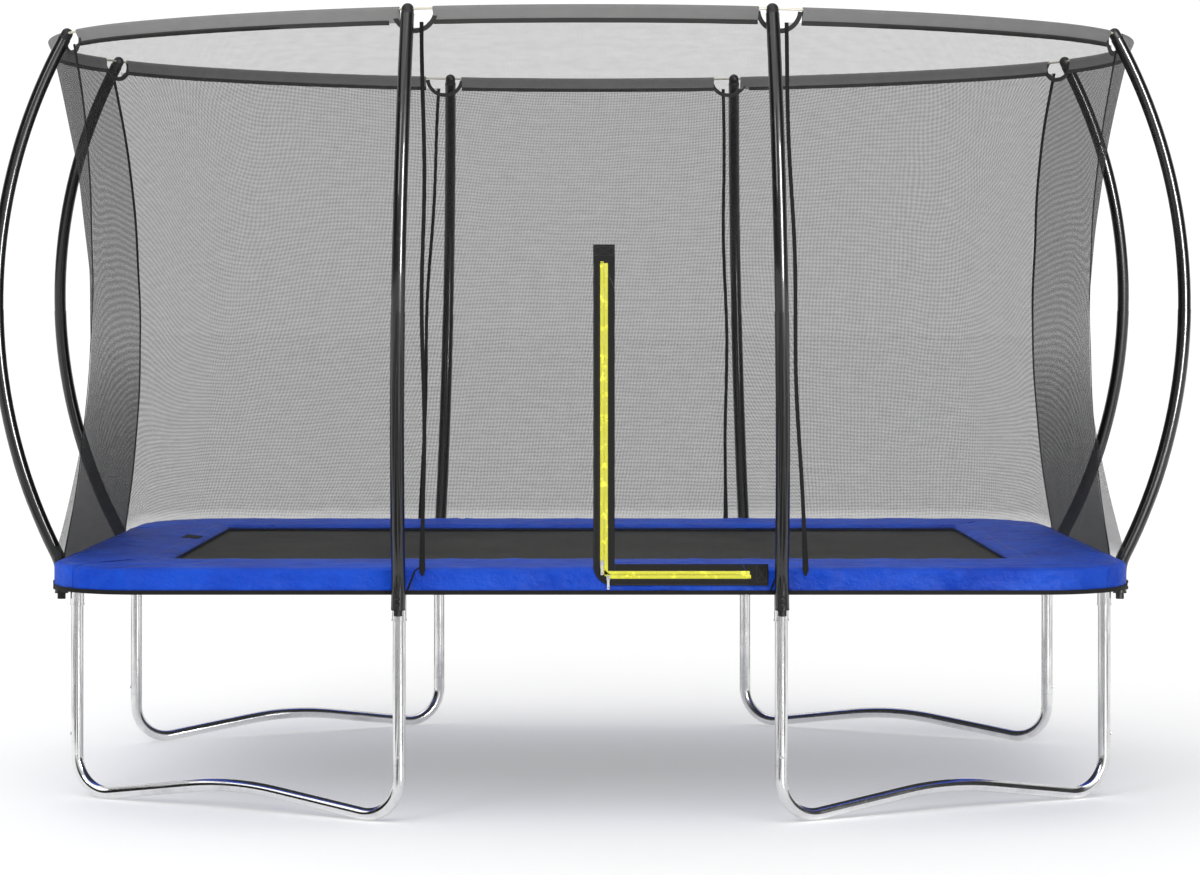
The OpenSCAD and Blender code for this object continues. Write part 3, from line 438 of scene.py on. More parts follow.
def ripple(u, z, v):
    # long soft pulls of a hung net, still along its edges
    calm = 4 * v * (1 - v)
    pulls = np.sin(u * 9 + z * 5) + 0.6 * np.sin(u * 23 - z * 7 + 1) + 0.4 * np.sin(z * 19 + u * 4)
    return net["ripple"] * calm * pulls


def edges(side, z):
    leg, _, cap = sideOf(side)
    v = rise(z)
    low = (-leg + net["shiftLow"], leg + net["shiftLow"])
    top = (-cap + net["shiftTop"], cap + net["shiftTop"])
    return low[0] + (top[0] - low[0]) * v, low[1] + (top[1] - low[1]) * v


def netAt(side, along, z, push=0.0):
    # the point of a side's panel at a place along and a height
    _, rail, cap = sideOf(side)
    v = rise(z)
    first, last = edges(side, z)
    share = (along - first) / (last - first)
    top = -cap + 2 * cap * share + net["shiftTop"]
    out = (rail + net["line"]) * (1 - v) + ringOut(side, top) * v - drawIn(v) + push + ripple(along, z, v)
    return placed(side, out, along, z)


def steps(start, end, size):
    return np.linspace(start, end, max(2, int(round(abs(end - start) / size)) + 1))


def netRows(*heights):
    rows = [net["low"]]
    for a, b in zip((net["low"], *heights), (*heights, net["top"])):
        rows += list(steps(a, b, net["step"])[1:])
    return np.array(rows)


def clothOf(points):
    # metres along the rows and up the columns of a grid of points
    across = np.linalg.norm(np.diff(points, axis=1), axis=2)
    up = np.linalg.norm(np.diff(points, axis=0), axis=2)
    u = np.concatenate([np.zeros((len(points), 1)), np.cumsum(across, 1)], 1)
    u -= u[:, -1:] / 2
    v = np.concatenate([np.zeros((1, points.shape[1])), np.cumsum(up, 0)], 0)
    return np.stack([u, v], -1)


# middles of the cut-outs round the caps, on the net
windows = [(side, s * sideOf(side)[2] + net["shiftTop"] / 2) for side in turns for s in (-1, 1)]
windowR = 0.062


def clearOfWindows(points, faces):
    spots = [placed(side, ringOut(side, along), along, ringZ) for side, along in windows]
    kept = []
    for face in faces:
        middle = np.mean([points[i] for i in face], 0)
        if middle[2] < ringZ - 0.1 or min(np.linalg.norm(middle - spot) for spot in spots) > windowR:
            kept.append(face)
    return kept


def panelGrid(side, alongs, rows):
    grid = np.array([[netAt(side, a, z) for a in alongs(z)] for z in rows])
    return grid, clothOf(grid)


def sheetArea(grid):
    a, b = grid[1:, :-1] - grid[:-1, :-1], grid[:-1, 1:] - grid[:-1, :-1]
    return float(np.linalg.norm(np.cross(a, b), axis=2).sum())


def makeSidePanel(side):
    rows = netRows()
    count = int(2 * sideOf(side)[0] / net["step"])

    def alongs(z):
        first, last = edges(side, z)
        return np.linspace(first, last, count)
    grid, cloth = panelGrid(side, alongs, rows)
    points = grid.reshape(-1, 3)
    faces = clearOfWindows(points, gridFaces(len(rows), count))
    piece = makePiece("net" + side.capitalize(), points, faces, netting if isLong(side) else closeNetting, cloth)
    rideOn(piece, "frame", "net_mesh", "net_" + side)


def insideDoor(along, z):
    a, h = (along - zipper["x"]) / zipper["across"], (z - zipper["z"]) / zipper["up"]
    return a > 0 and h > 0 and a + h < 1


def makeFront():
    rows = netRows(zipper["z"], zipper["z"] + zipper["up"])
    first, last = edges("front", net["low"])
    counts = [int((zipper["x"] - first) / net["step"]), int((last - zipper["x"]) / net["step"])]

    def alongs(z):
        low, high = edges("front", z)
        return np.concatenate([np.linspace(low, zipper["x"], counts[0] + 1),
                               np.linspace(zipper["x"], high, counts[1] + 1)[1:]])
    grid, cloth = panelGrid("front", alongs, rows)
    points = grid.reshape(-1, 3)
    faces = clearOfWindows(points, gridFaces(len(rows), grid.shape[1]))
    inside = [insideDoor(*np.mean([points[i] for i in f], 0)[[0, 2]]) for f in faces]
    for name, node, keep in (("netFront", "net_front", False), ("doorFlap", "door_flap", True)):
        own = [f for f, i in zip(faces, inside) if i == keep]
        used = sorted({i for f in own for i in f})
        index = {old: new for new, old in enumerate(used)}
        own = [[index[i] for i in f] for f in own]
        piece = makePiece(name, points[used], own, netting, cloth.reshape(-1, 2)[used])
        doorArea = zipper["across"] * zipper["up"] / 2
        if keep:
            blendDoor(piece)
            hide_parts(node)
        else:
            rideOn(piece, "frame", "net_mesh", node)
            sheetArea(grid) - doorArea


def blendDoor(piece):
    # works out the slanting line between the zips' far ends, and bakes the piece's placement into its mesh
    x, z, a, h = zipper["x"], zipper["z"], zipper["across"], zipper["up"]
    way = np.array([-h, 0, -a]) / math.hypot(a, h)
    foot = np.array([x + a / 2, -(railY + net["line"]), z + h / 2])
    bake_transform(piece)


def arcPoints(cx, cy, r, start, end, count):
    a = np.radians(np.linspace(start, end, count))
    return np.stack([cx + r * np.cos(a), cy + r * np.sin(a)], -1)


def walked(line, shares):
    gaps = np.linalg.norm(np.diff(line, axis=0), axis=1)
    far = np.concatenate([[0], np.cumsum(gaps)])
    return np.stack([np.interp(np.asarray(shares) * far[-1], far, line[:, i]) for i in range(line.shape[1])], -1)


def makeCornerPanel(name, sx, sy):
    k = -1 if sx * sy > 0 else 1
    x, y, r = railX - bendR, railY - bendR, bendR + net["line"]
    low = np.concatenate([[[legX + k * net["shiftLow"], y + r]], arcPoints(x, y, r, 90, 0, 40),
                          [[x + r, legY - k * net["shiftLow"]]]])
    first = 90 - math.degrees(math.asin((net["capX"] + k * net["shiftTop"]) / sideR))
    last = math.degrees(math.asin((net["capY"] - k * net["shiftTop"]) / net["endRadius"]))
    meet = 90 - math.degrees(ringTurn)
    top = np.concatenate([arcPoints(0, -sideY, sideR, first, meet, 40),
                          arcPoints(endX, 0, net["endRadius"], meet, last, 40)[1:]])
    count = int(np.linalg.norm(np.diff(low, axis=0), axis=1).sum() / net["step"])
    shares = np.linspace(0, 1, count)
    lowAt, topAt = walked(low, shares), walked(top, shares)
    normal = np.stack([np.sin(np.pi / 2 * shares), np.cos(np.pi / 2 * shares)], -1)
    rows = netRows()
    grid = np.zeros((len(rows), count, 3))
    for i, z in enumerate(rows):
        v = rise(z)
        push = ripple(shares * 1.6, z, v) * np.sin(np.pi * shares) - drawIn(v)
        flat = lowAt * (1 - v) + topAt * v + push[:, None] * normal
        grid[i, :, :2], grid[i, :, 2] = flat * (sx, sy), z
    if sx * sy > 0:
        grid = grid[:, ::-1]
    cloth = clothOf(grid)
    points = grid.reshape(-1, 3)
    faces = clearOfWindows(points, gridFaces(len(rows), count))
    piece = makePiece(name, points, faces, netting, cloth)
    front, flank = ("back" if sy > 0 else "front"), ("right" if sx > 0 else "left")
    rideOn(piece, "frame", "net_mesh", f"net_{front}_{flank}")


print("net panels")
for side in ("back", "left", "right"):
    makeSidePanel(side)
makeFront()
for sx, flank in ((-1, "Left"), (1, "Right")):
    for sy, end in ((-1, "Front"), (1, "Back")):
        makeCornerPanel("net" + end + flank, sx, sy)


def slab(side, grid, inner, outer):
    # closed patch between two distances outwards, over a grid of (along, height)
    skins = [np.array([[netAt(side, a, z, push) for a, z in row] for row in grid]) for push in (inner, outer)]
    points = np.concatenate([s.reshape(-1, 3) for s in skins])
    return points, skinFaces(*grid.shape[:2]), np.concatenate([grid.reshape(-1, 2)] * 2)


def ribbonGrid(route, widths):
    # grid of (along, height) down a route, as wide as widths says on each side
    route = np.asarray(route, float)
    way = np.gradient(route, axis=0)
    way /= np.linalg.norm(way, axis=1)[:, None]
    normal = np.stack([way[:, 1], -way[:, 0]], -1)
    return np.array([[p + n * w for w in ws] for p, n, ws in zip(route, normal, widths)])


seam = {"width": 0.013, "footWidth": 0.021, "wave": 0.006, "at": (0.001, 0.0034)}


def makeSeams():
    parts = []
    for i, side in enumerate(("front", "back", "left", "right")):
        for s in (0, 1):
            z = np.linspace(net["bend"] - 0.028, net["top"], 90)
            along = edges(side, z)[s] + seam["wave"] * np.sin(z * 6.5 + i + 2 * s) * np.sin(np.pi * rise(z))
            foot = np.clip((0.17 - (z - z[0])) / 0.17, 0, 1)
            half = (seam["width"] + (seam["footWidth"] - seam["width"]) * foot) / 2
            half *= np.sqrt(np.clip((z - z[0]) / 0.01, 0.12, 1))
            grid = ribbonGrid(np.stack([along, z], -1), np.stack([half, half * 0.3, -half * 0.3, -half], -1))
            parts.append(slab(side, grid, *seam["at"]))
    points, faces, cloth = joined(parts)
    rideOn(makePiece("netSeams", points, faces, webbing, cloth), "frame", "black_webbing", "net_seams")


def ringLine(count=90):
    # the ring seen from above: side, angle, place along, point and direction outwards
    line = []
    for side in ("right", "back", "left", "front"):
        r, reach = (sideR, ringTurn) if isLong(side) else (net["endRadius"], math.pi / 2 - ringTurn)
        centre = -sideY if isLong(side) else endX
        for a in np.linspace(-reach, reach, count)[:-1]:
            line.append((side, r * math.sin(a), placed(side, centre + r * math.cos(a), r * math.sin(a), ringZ),
                         placed(side, math.cos(a), math.sin(a), 0)))
    return line


band = {"pocket": 0.0076, "flat": 0.0017, "lean": 0.011, "low": -0.044, "wall": 0.0011, "gap": 0.05, "puff": 0.0007}


def bandOutline():
    # one closed loop round both layers of the folded band, outside and back inside
    heights = np.array([band["low"], -0.034, -0.024, -0.016, -0.008, 0.0])
    half = np.array([0, 0.0004, 0.002, 0.0042, 0.0066, 0.0076]) + band["flat"] * np.array([1, 1, 0.6, 0.3, 0.1, 0])
    centre = -band["lean"] * np.clip(heights / band["low"], 0, 1)

    def over(r, *angles):
        return [(r * math.cos(a), r * math.sin(a)) for a in np.radians(angles)]
    outer = [(c + h, z) for c, h, z in zip(centre, half, heights)] + over(band["pocket"], 30, 60, 90, 120, 150)
    outer += [(c - h, z) for c, h, z in list(zip(centre, half, heights))[::-1]]
    w = band["wall"]
    inner = [(c - h + w * 0.9, z + 0.0001) for c, h, z in zip(centre, half, heights)]
    inner += over(band["pocket"] - w, 150, 120, 90, 60, 30)
    inner += [(c + h - w * 0.9, z + 0.0001) for c, h, z in list(zip(centre, half, heights))[::-1]]
    return outer + inner


def sweepRing(outline, skip):
    # sweeps an outline along the ring between the cut-outs
    parts, run = [], []
    line = ringLine()

    def blocked(entry):
        return any(entry[0] == side and abs(entry[1] - along) < skip for side, along in windows)
    start = next(i for i, entry in enumerate(line) if blocked(entry))
    walk = 0.0
    previous = None
    for entry in line[start:] + line[:start] + [line[start]]:
        if blocked(entry):
            if len(run) > 3:
                parts.append(swept([r for r, _ in run], [c for _, cs in run for c in cs]))
            run = []
            continue
        point, out = entry[2], entry[3]
        walk += 0 if previous is None else float(np.linalg.norm(point - previous))
        previous = point
        sway = band["puff"] * math.sin(walk * 21) + band["puff"] * 0.6 * math.sin(walk * 53 + 1)
        loop = [point + out * (o + sway * min(0, z) / band["low"]) + np.array([0, 0, z]) for o, z in outline]
        run.append((loop, [(walk, z + o) for o, z in outline]))
    return joined(parts)


def halfMoon(side, along, radius=0.064, thick=0.005, depth=0.013):
    # binding round the cut-out below a cap, from one end of the band to the other
    rings, cloth = [], []
    for a in np.radians(np.linspace(186, 354, 30)):
        loop = []
        for r, push in ((radius - 0.002, -thick / 2), (radius + depth, -thick / 2),
                        (radius + depth, thick / 2), (radius - 0.002, thick / 2)):
            at, z = along + r * math.cos(a), ringZ + r * math.sin(a)
            loop.append(netAt(side, at, min(z, ringZ), push) if z < net["top"] else
                        placed(side, ringOut(side, at) - band["lean"] * (z - ringZ) / band["low"] + push, at, z))
            cloth.append((a * radius, r))
        rings.append(loop)
    return swept(rings, cloth)


def makeBand():
    points, faces, cloth = sweepRing(bandOutline(), band["gap"])
    piece = makePiece("netBand", points, faces, bandCloth, cloth)
    rideOn(piece, "frame", "net_band", "net_band")
    low, half = band["low"], 0.0031
    edge = [(-band["lean"] - half, low - 0.006), (-band["lean"] + half, low - 0.006),
            (-band["lean"] * 0.8 + half, low + 0.008), (-band["lean"] * 0.8 - half, low + 0.008)]
    parts = [sweepRing(edge, band["gap"] + 0.004)] + [halfMoon(*spot) for spot in windows]
    points, faces, cloth = joined(parts)
    rideOn(makePiece("bandBinding", points, faces, binding, cloth), "frame", "net_band")


def makeNetHem():
    # narrow binding along the net's lower edge
    parts = []
    for side in turns:
        first, last = edges(side, net["low"])
        route = np.stack([np.linspace(first, last, 60), np.full(60, net["low"] + 0.004)], -1)
        parts.append(slab(side, ribbonGrid(route, np.full((60, 2), (0.007, -0.007))), -0.0008, 0.0024))
    for sx in (-1, 1):
        for sy in (-1, 1):
            k = -1 if sx * sy > 0 else 1
            x, y = railX - bendR, railY - bendR
            rings, cloth = [], []
            for i, a in enumerate(np.radians(np.linspace(90, 0, 30))):
                reach = [bendR + net["line"] + o for o in (-0.0008, 0.0024, 0.0024, -0.0008)]
                rings.append([(sx * (x + r * math.cos(a)), sy * (y + r * math.sin(a)), net["low"] + z)
                              for r, z in zip(reach, (-0.003, -0.003, 0.011, 0.011))])
                cloth += [(i * 0.017, z) for z in (0, 0.003, 0.014, 0.017)]
            for end, way in ((0, (legX + k * net["shiftLow"], None)), (-1, (None, legY - k * net["shiftLow"]))):
                ring = [(p[0] if way[0] is None else sx * way[0], p[1] if way[1] is None else sy * way[1], p[2])
                        for p in rings[end]]
                rings = [ring] + rings if end == 0 else rings + [ring]
                cloth = [(0, 0)] * 4 + cloth if end == 0 else cloth + [(0.6, 0)] * 4
            parts.append(swept(rings if sx * sy < 0 else rings[::-1], cloth))
    points, faces, cloth = joined(parts)
    rideOn(makePiece("netHem", points, faces, webbing, cloth), "frame", "black_webbing")


print("seams, band and hem")
makeSeams()
makeBand()
makeNetHem()


def newTree(name, inputs):
    tree = bpy.data.node_groups.new(name, "GeometryNodeTree")
    tree.interface.new_socket("Places", in_out="INPUT", socket_type="NodeSocketGeometry")
    for label, (kind, value) in inputs.items():
        socket = tree.interface.new_socket(label, in_out="INPUT", socket_type="NodeSocket" + kind)
        if value is not None:
            socket.default_value = value
    tree.interface.new_socket("Built", in_out="OUTPUT", socket_type="NodeSocketGeometry")
    entry = tree.nodes.new("NodeGroupInput")
    return tree, {s.name: Wire(tree, s) for s in entry.outputs if s.name}


def putEverywhere(tree, inputs, shape):
    # a copy of the shape at each place, turned as the place says, made real and given its finish
    turn = addNode(tree, "GeometryNodeInputNamedAttribute", {"data_type": "FLOAT_VECTOR"}, {"Name": "turn"})
    copies = addNode(tree, "GeometryNodeInstanceOnPoints", {},
                     {"Points": inputs["Places"], "Instance": shape, "Rotation": turn})
    real = addNode(tree, "GeometryNodeRealizeInstances", {}, {0: copies})
    smooth = addNode(tree, "GeometryNodeSetShadeSmooth", {}, {0: real})
    done = addNode(tree, "GeometryNodeSetMaterial", {}, {"Geometry": smooth, "Material": inputs["Finish"]})
    leave = tree.nodes.new("NodeGroupOutput")
    tree.links.new(done.socket, leave.inputs[0])


def copyTree():
    tree, inputs = newTree("copies of a shape", {
        "Shape": ("Object", None), "Finish": ("Material", None), "Size": ("Float", 1.0)})
    shape = addNode(tree, "GeometryNodeObjectInfo", {}, {"Object": inputs["Shape"]}, "Geometry")
    sized = addNode(tree, "GeometryNodeTransform", {}, {"Geometry": shape, "Scale": inputs["Size"]})
    putEverywhere(tree, inputs, sized)
    return tree


def springTree():
    # wire wound round the X axis, with a straight lead and a hook at both ends
    sizes = {"Coil radius": 0.009, "Wire radius": 0.002, "Coil start": 0.042, "Coil length": 0.1485, "Reach": 0.22,
             "Hook in": 0.028, "Hook height": 0.0, "Hook drop": 0.013}
    tree, inputs = newTree("wound spring", {
        **{label: ("Float", value) for label, value in sizes.items()},
        "Turns": ("Float", 26.0), "Finish": ("Material", None)})

    def vector(x, y, z):
        return addNode(tree, "ShaderNodeCombineXYZ", {}, {0: x, 1: y, 2: z})
    height, start = inputs["Hook height"], inputs["Coil start"]
    spiral = addNode(tree, "GeometryNodeCurveSpiral", {}, {
        "Resolution": 10, "Rotations": inputs["Turns"], "Height": inputs["Coil length"],
        "Start Radius": inputs["Coil radius"], "End Radius": inputs["Coil radius"]})
    coil = addNode(tree, "GeometryNodeTransform", {}, {"Geometry": spiral, "Rotation": (0, math.pi / 2, 0),
                   "Translation": vector(start, 0, height - inputs["Coil radius"])})
    curves = [coil]
    for a, b in ((inputs["Hook in"], start + 0.003), (start + inputs["Coil length"] - 0.003, inputs["Reach"])):
        curves.append(addNode(tree, "GeometryNodeCurvePrimitiveLine", {},
                              {"Start": vector(a, 0, height), "End": vector(b, 0, height)}))
    for x, way in ((inputs["Hook in"], -1), (inputs["Reach"], 1)):
        curves.append(addNode(tree, "GeometryNodeCurvePrimitiveBezierSegment", {}, {
            "Resolution": 6, "Start": vector(x, 0, height), "Start Handle": vector(x + way * 0.004, 0, height),
            "End Handle": vector(x + way * 0.005, 0, height - 0.003),
            "End": vector(x, 0, height - inputs["Hook drop"])}))
    together = tree.nodes.new("GeometryNodeJoinGeometry")
    for curve in curves:
        tree.links.new(curve.socket, together.inputs[0])
    profile = addNode(tree, "GeometryNodeCurvePrimitiveCircle", {},
                      {"Resolution": 6, "Radius": inputs["Wire radius"]})
    wire = addNode(tree, "GeometryNodeCurveToMesh", {},
                   {0: Wire(tree, together.outputs[0]), 1: profile, "Fill Caps": True})
    putEverywhere(tree, inputs, wire)
    return tree


def grow(name, tree, places, turned, **values):
    mesh = bpy.data.meshes.new(name)
    mesh.from_pydata([tuple(map(float, p)) for p in places], [], [])
    turn = mesh.attributes.new("turn", "FLOAT_VECTOR", "POINT")
    turn.data.foreach_set("vector", np.asarray(turned, float).ravel())
    holder = bpy.data.objects.new(name, mesh)
    scene.collection.objects.link(holder)
    modifier = holder.modifiers.new("build", "NODES")
    modifier.node_group = tree
    for item in tree.interface.items_tree:
        label = item.name.replace(" ", "")
        if item.in_out == "INPUT" and label in values:
            modifier[item.identifier] = values[label]
    view = bpy.context.evaluated_depsgraph_get()
    made = bpy.data.meshes.new_from_object(holder.evaluated_get(view), depsgraph=view)
    holder.modifiers.clear()
    holder.data = made
    return holder


def shapeObject(name, points, faces):
    mesh = bpy.data.meshes.new(name)
    mesh.from_pydata([tuple(p) for p in points], [], [tuple(f) for f in faces])
    shape = bpy.data.objects.new(name, mesh)
    scene.collection.objects.link(shape)
    shape.hide_render = True
    return shape


def blockShape(name, x, y, z, chamfer=0.25):
    # small block with its upper edges cut off
    c = chamfer * min(x, y)
    low = [(-x / 2, -y / 2, 0), (x / 2, -y / 2, 0), (x / 2, y / 2, 0), (-x / 2, y / 2, 0)]
    mid = [(p[0], p[1], z * 0.55) for p in low]
    top = [(p[0] - math.copysign(c, p[0]), p[1] - math.copysign(c, p[1]), z) for p in low]
    faces = [(3, 2, 1, 0), (8, 9, 10, 11)]
    faces += [(r + i, r + (i + 1) % 4, r + 4 + (i + 1) % 4, r + 4 + i) for r in (0, 4) for i in range(4)]
    return shapeObject(name, low + mid + top, faces)


def tidyShapes(*shapes):
    for shape in shapes:
        bpy.data.objects.remove(shape)


copies = copyTree()


def netTurn(side, along, z):
    # Euler turn that lays a flat shape on the net, its Y axis up the net and its Z axis outwards
    d = 0.004
    u = netAt(side, along + d, z) - netAt(side, along - d, z)
    v = netAt(side, along, z + d) - netAt(side, along, z - d)
    u, v = Vector(u).normalized(), Vector(v).normalized()
    w = u.cross(v).normalized()
    v = w.cross(u)
    return Matrix((u, v, w)).transposed().to_euler()


def makeZip():
    x, z, up, across, tape, past = (zipper[k] for k in ("x", "z", "up", "across", "tape", "past"))
    top, end, cut = z + up, x + across, 0.0006

    def slant(at):
        # height of the hinge line
        return z + up * (1 - (at - x) / across)

    def level(height):
        return x + across * (1 - (height - z) / up)

    def upright(a, b, low, high, rows=70):
        return np.array([[(at, low(at) + (high(at) - low(at)) * r / rows) for at in np.linspace(a, b, 4)]
                         for r in range(rows + 1)])

    def lying(low, high, a, b, cols=40):
        return np.array([[(a(h) + (b(h) - a(h)) * c / cols, h) for c in range(cols + 1)]
                         for h in np.linspace(low, high, 4)])

    def fixed(value):
        return lambda _: value

    def corner(inner, outer):
        # quarter round outside the zips' corner
        centre = zipper["corner"]
        return np.array([[(x + centre - (centre + r) * math.cos(a), z + centre - (centre + r) * math.sin(a))
                          for r in np.linspace(outer, inner, 4)] for a in np.radians(np.linspace(0, 90, 14))])
    c, w = zipper["corner"], zipper["chain"]
    atTop, atEnd, gap = fixed(top), fixed(end), 0.012

    def outside(width):
        # the net's half of a strip as wide as that, and its ends past the flap's
        return [upright(x - width, x - cut, fixed(z + c), atTop), lying(z - width, z - cut, fixed(x + c), atEnd),
                corner(-cut, width),
                upright(x - cut, x + width, lambda at: min(slant(at) - gap + 0.001, top - 0.001), atTop, 8),
                lying(z - cut, z + width, lambda h: min(level(h) - gap + 0.001, end - 0.001), atEnd, 8)]

    def within(width):
        return [upright(x + cut, x + width, fixed(z + cut), lambda at: slant(at) - gap),
                lying(z + cut, z + width, fixed(x + width + cut), lambda h: level(h) - gap)]
    pieces = {"zipTapeNet": [slab("front", g, *zipper["tapeAt"]) for g in outside(tape)],
              "zipTapeFlap": [slab("front", g, *zipper["tapeAt"]) for g in within(tape)],
              "zipChainNet": [slab("front", g, *zipper["chainAt"]) for g in outside(w)],
              "zipChainFlap": [slab("front", g, *zipper["chainAt"]) for g in within(w)]}
    patches = [upright(x - tape, x + tape, fixed(top - 0.004), fixed(top + past), 8),
               lying(z - tape, z + tape, fixed(end - 0.004), fixed(end + past), 8)]
    pieces["zipPatches"] = [slab("front", g, zipper["tapeAt"][0], zipper["tapeAt"][1] + 0.0016) for g in patches]
    made = {}
    for name, parts in pieces.items():
        points, faces, cloth = joined(parts)
        made[name] = makePiece(name, points, faces, zipYellow if "Chain" in name else zipCloth, cloth)
    # teeth on both sides of each zip, half a step apart
    tooth = blockShape("tooth", zipper["chain"] * 0.94, zipper["pitch"] * 0.62, zipper["toothH"])
    for name, way in (("zipTeethNet", -1), ("zipTeethFlap", 1)):
        places, turned = [], []
        for h in np.arange(z + 0.034, top - (0.05 if way > 0 else 0), zipper["pitch"]):
            height = h + (zipper["pitch"] / 2 if way > 0 else 0)
            places.append(netAt("front", x + way * w / 2, height, zipper["chainAt"][1] - 0.0003))
            turned.append(netTurn("front", x, height))
        for a in np.arange(x + 0.034, end - (0.05 if way > 0 else 0), zipper["pitch"]):
            at = a + (zipper["pitch"] / 2 if way > 0 else 0)
            places.append(netAt("front", at, z + way * w / 2, zipper["chainAt"][1] - 0.0003))
            lay = netTurn("front", at, z).to_matrix() @ Euler((0, 0, math.pi / 2)).to_matrix()
            turned.append(lay.to_euler())
        made[name] = grow(name, copies, places, turned, Shape=tooth, Finish=zipYellow)
    tidyShapes(tooth)
    # stitches: two rows down each tape and a crossed box on each patch
    stitch = blockShape("stitch", 0.0042, 0.0011, 0.0007)
    lines = []
    for off in (-tape + 0.004, -w - 0.004):
        lines += [[(x + off, z + c), (x + off, top)], [(x + c, z + off), (end, z + off)]]
    for a, b, e, g in ((x - tape, x + tape, top + 0.008, top + past), (end + 0.012, end + past, z - tape, z + tape)):
        m = 0.006
        box = [(a + m, e + 2 * m), (b - m, e + 2 * m), (b - m, g - m), (a + m, g - m)]
        lines += [[box[i], box[(i + 1) % 4]] for i in range(4)] + [[box[0], box[2]], [box[1], box[3]]]
    places, turned = [], []
    for (a0, z0), (a1, z1) in lines:
        far = math.hypot(a1 - a0, z1 - z0)
        onPatch = far < 0.1
        tilt = Euler((0, 0, math.atan2(z1 - z0, a1 - a0))).to_matrix()
        for d in np.arange(0.003, far, 0.0062):
            a, h = a0 + (a1 - a0) * d / far, z0 + (z1 - z0) * d / far
            places.append(netAt("front", a, h, zipper["tapeAt"][1] + (0.0014 if onPatch else -0.0002)))
            turned.append((netTurn("front", a, h).to_matrix() @ tilt).to_euler())
    made["zipStitches"] = grow("zipStitches", copies, places, turned, Shape=stitch, Finish=thread)
    tidyShapes(stitch)
    for name in ("zipTapeNet", "zipPatches", "zipStitches"):
        rideOn(made[name], "frame", "zip_tape", *(["zip_tape_net"] if name == "zipTapeNet" else []))
    for name in ("zipChainNet", "zipTeethNet"):
        rideOn(made[name], "frame", "zip_chain", *(["zip_teeth_net"] if name == "zipTeethNet" else []))
    for name, slotName, node in (("zipTapeFlap", "zip_tape", "zip_tape_flap"), ("zipChainFlap", "zip_chain", None),
                                 ("zipTeethFlap", "zip_chain", "zip_teeth_flap")):
        blendDoor(made[name])
        if node:
            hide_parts(node)


print("zips")
makeZip()

mat = {"sag": 0.004, "step": 0.034, "hem": 0.05}


def makeMat():
    lo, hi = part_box("jump_mat")
    hx, hy, low, high = hi.x, hi.y, lo.z, hi.z
    cut = (bendR - (railX - hx)) * (2 - math.sqrt(2))
    xs, ys = np.linspace(-hx, hx, int(2 * hx / mat["step"])), np.linspace(-hy, hy, int(2 * hy / mat["step"]))
    grid = np.zeros((len(ys), len(xs), 3))
    grid[..., 0], grid[..., 1] = xs[None, :], ys[:, None]
    past = np.maximum(0, np.abs(grid[..., 0]) + np.abs(grid[..., 1]) - (hx + hy - cut)) / 2
    grid[..., 0] -= np.sign(grid[..., 0]) * past
    grid[..., 1] -= np.sign(grid[..., 1]) * past
    a, b = grid[..., 0] / hx, grid[..., 1] / hy
    calm = (1 - a ** 2) * (1 - b ** 2)
    grid[..., 2] = high - mat["sag"] * calm * (1 + 0.25 * np.sin(5 * grid[..., 0] + 2) * np.sin(7 * grid[..., 1]))
    top = grid.reshape(-1, 3)
    under = top - (0, 0, high - low)
    faces = skinFaces(*grid.shape[:2], inward=True)
    cloth = np.concatenate([top[:, :2], under[:, :2]])
    piece = makePiece("jumpMat", np.concatenate([top, under]), faces, matCloth, cloth)
    rideOn(piece, "jump_mat", "woven_mat", "jump_mat")
    # hem: a folded band on top of the edge
    z0, z1 = high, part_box("jump_mat")[1].z + 0.0014

    def corners(g):
        a, b = hx + g, hy + g
        return [(a, b - cut), (a - cut, b), (cut - a, b), (-a, b - cut),
                (-a, cut - b), (cut - a, -b), (a - cut, -b), (a, cut - b)]
    profile = [(0.0016, z0), (0.0016, z1), (-0.002, z1 + 0.0006), (-0.024, z1 + 0.0002), (-0.046, z1 + 0.0006),
               (-mat["hem"], z1), (-mat["hem"], z0)]
    loops = [[(*p, z) for p in corners(g)] for g, z in profile]
    rings = [[loop[i] for loop in loops] for i in range(8)]
    cloth = [(i * 0.4, g) for i in range(8) for g, z in profile]
    points, faces, cloth = swept(rings, cloth, closed=True)
    hem = makePiece("matHem", points, [f[::-1] for f in faces], webbing, cloth)
    rideOn(hem, "jump_mat", "black_webbing", "mat_hem")


def springSpots():
    # springs of each side and each corner: places on the mat's edge and their turn about Z
    groups = {}
    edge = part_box("jump_mat")[1]
    for side in turns:
        step = sideOf(side)[0] / 5
        last = math.floor(((railX if isLong(side) else railY) - bendR - 0.009) / step - 0.5)
        spots = [s * (i + 0.5) * step for i in range(last + 1) for s in (-1, 1)]
        places = [placed(side, edge.y if isLong(side) else edge.x, at, 0) for at in spots]
        node = "springs_long_sides" if isLong(side) else "springs_short_sides"
        groups["springs" + side.capitalize()] = (places, math.radians(turns[side]), node)
    r = bendR - (railX - edge.x)
    for sx, flank in ((-1, "Left"), (1, "Right")):
        for sy, end in ((-1, "Front"), (1, "Back")):
            a = math.atan2(sy, sx)
            place = np.array([sx * (railX - bendR) + r * math.cos(a), sy * (railY - bendR) + r * math.sin(a), 0])
            groups["spring" + end + flank] = ([place], a, "springs_short_sides")
    return groups


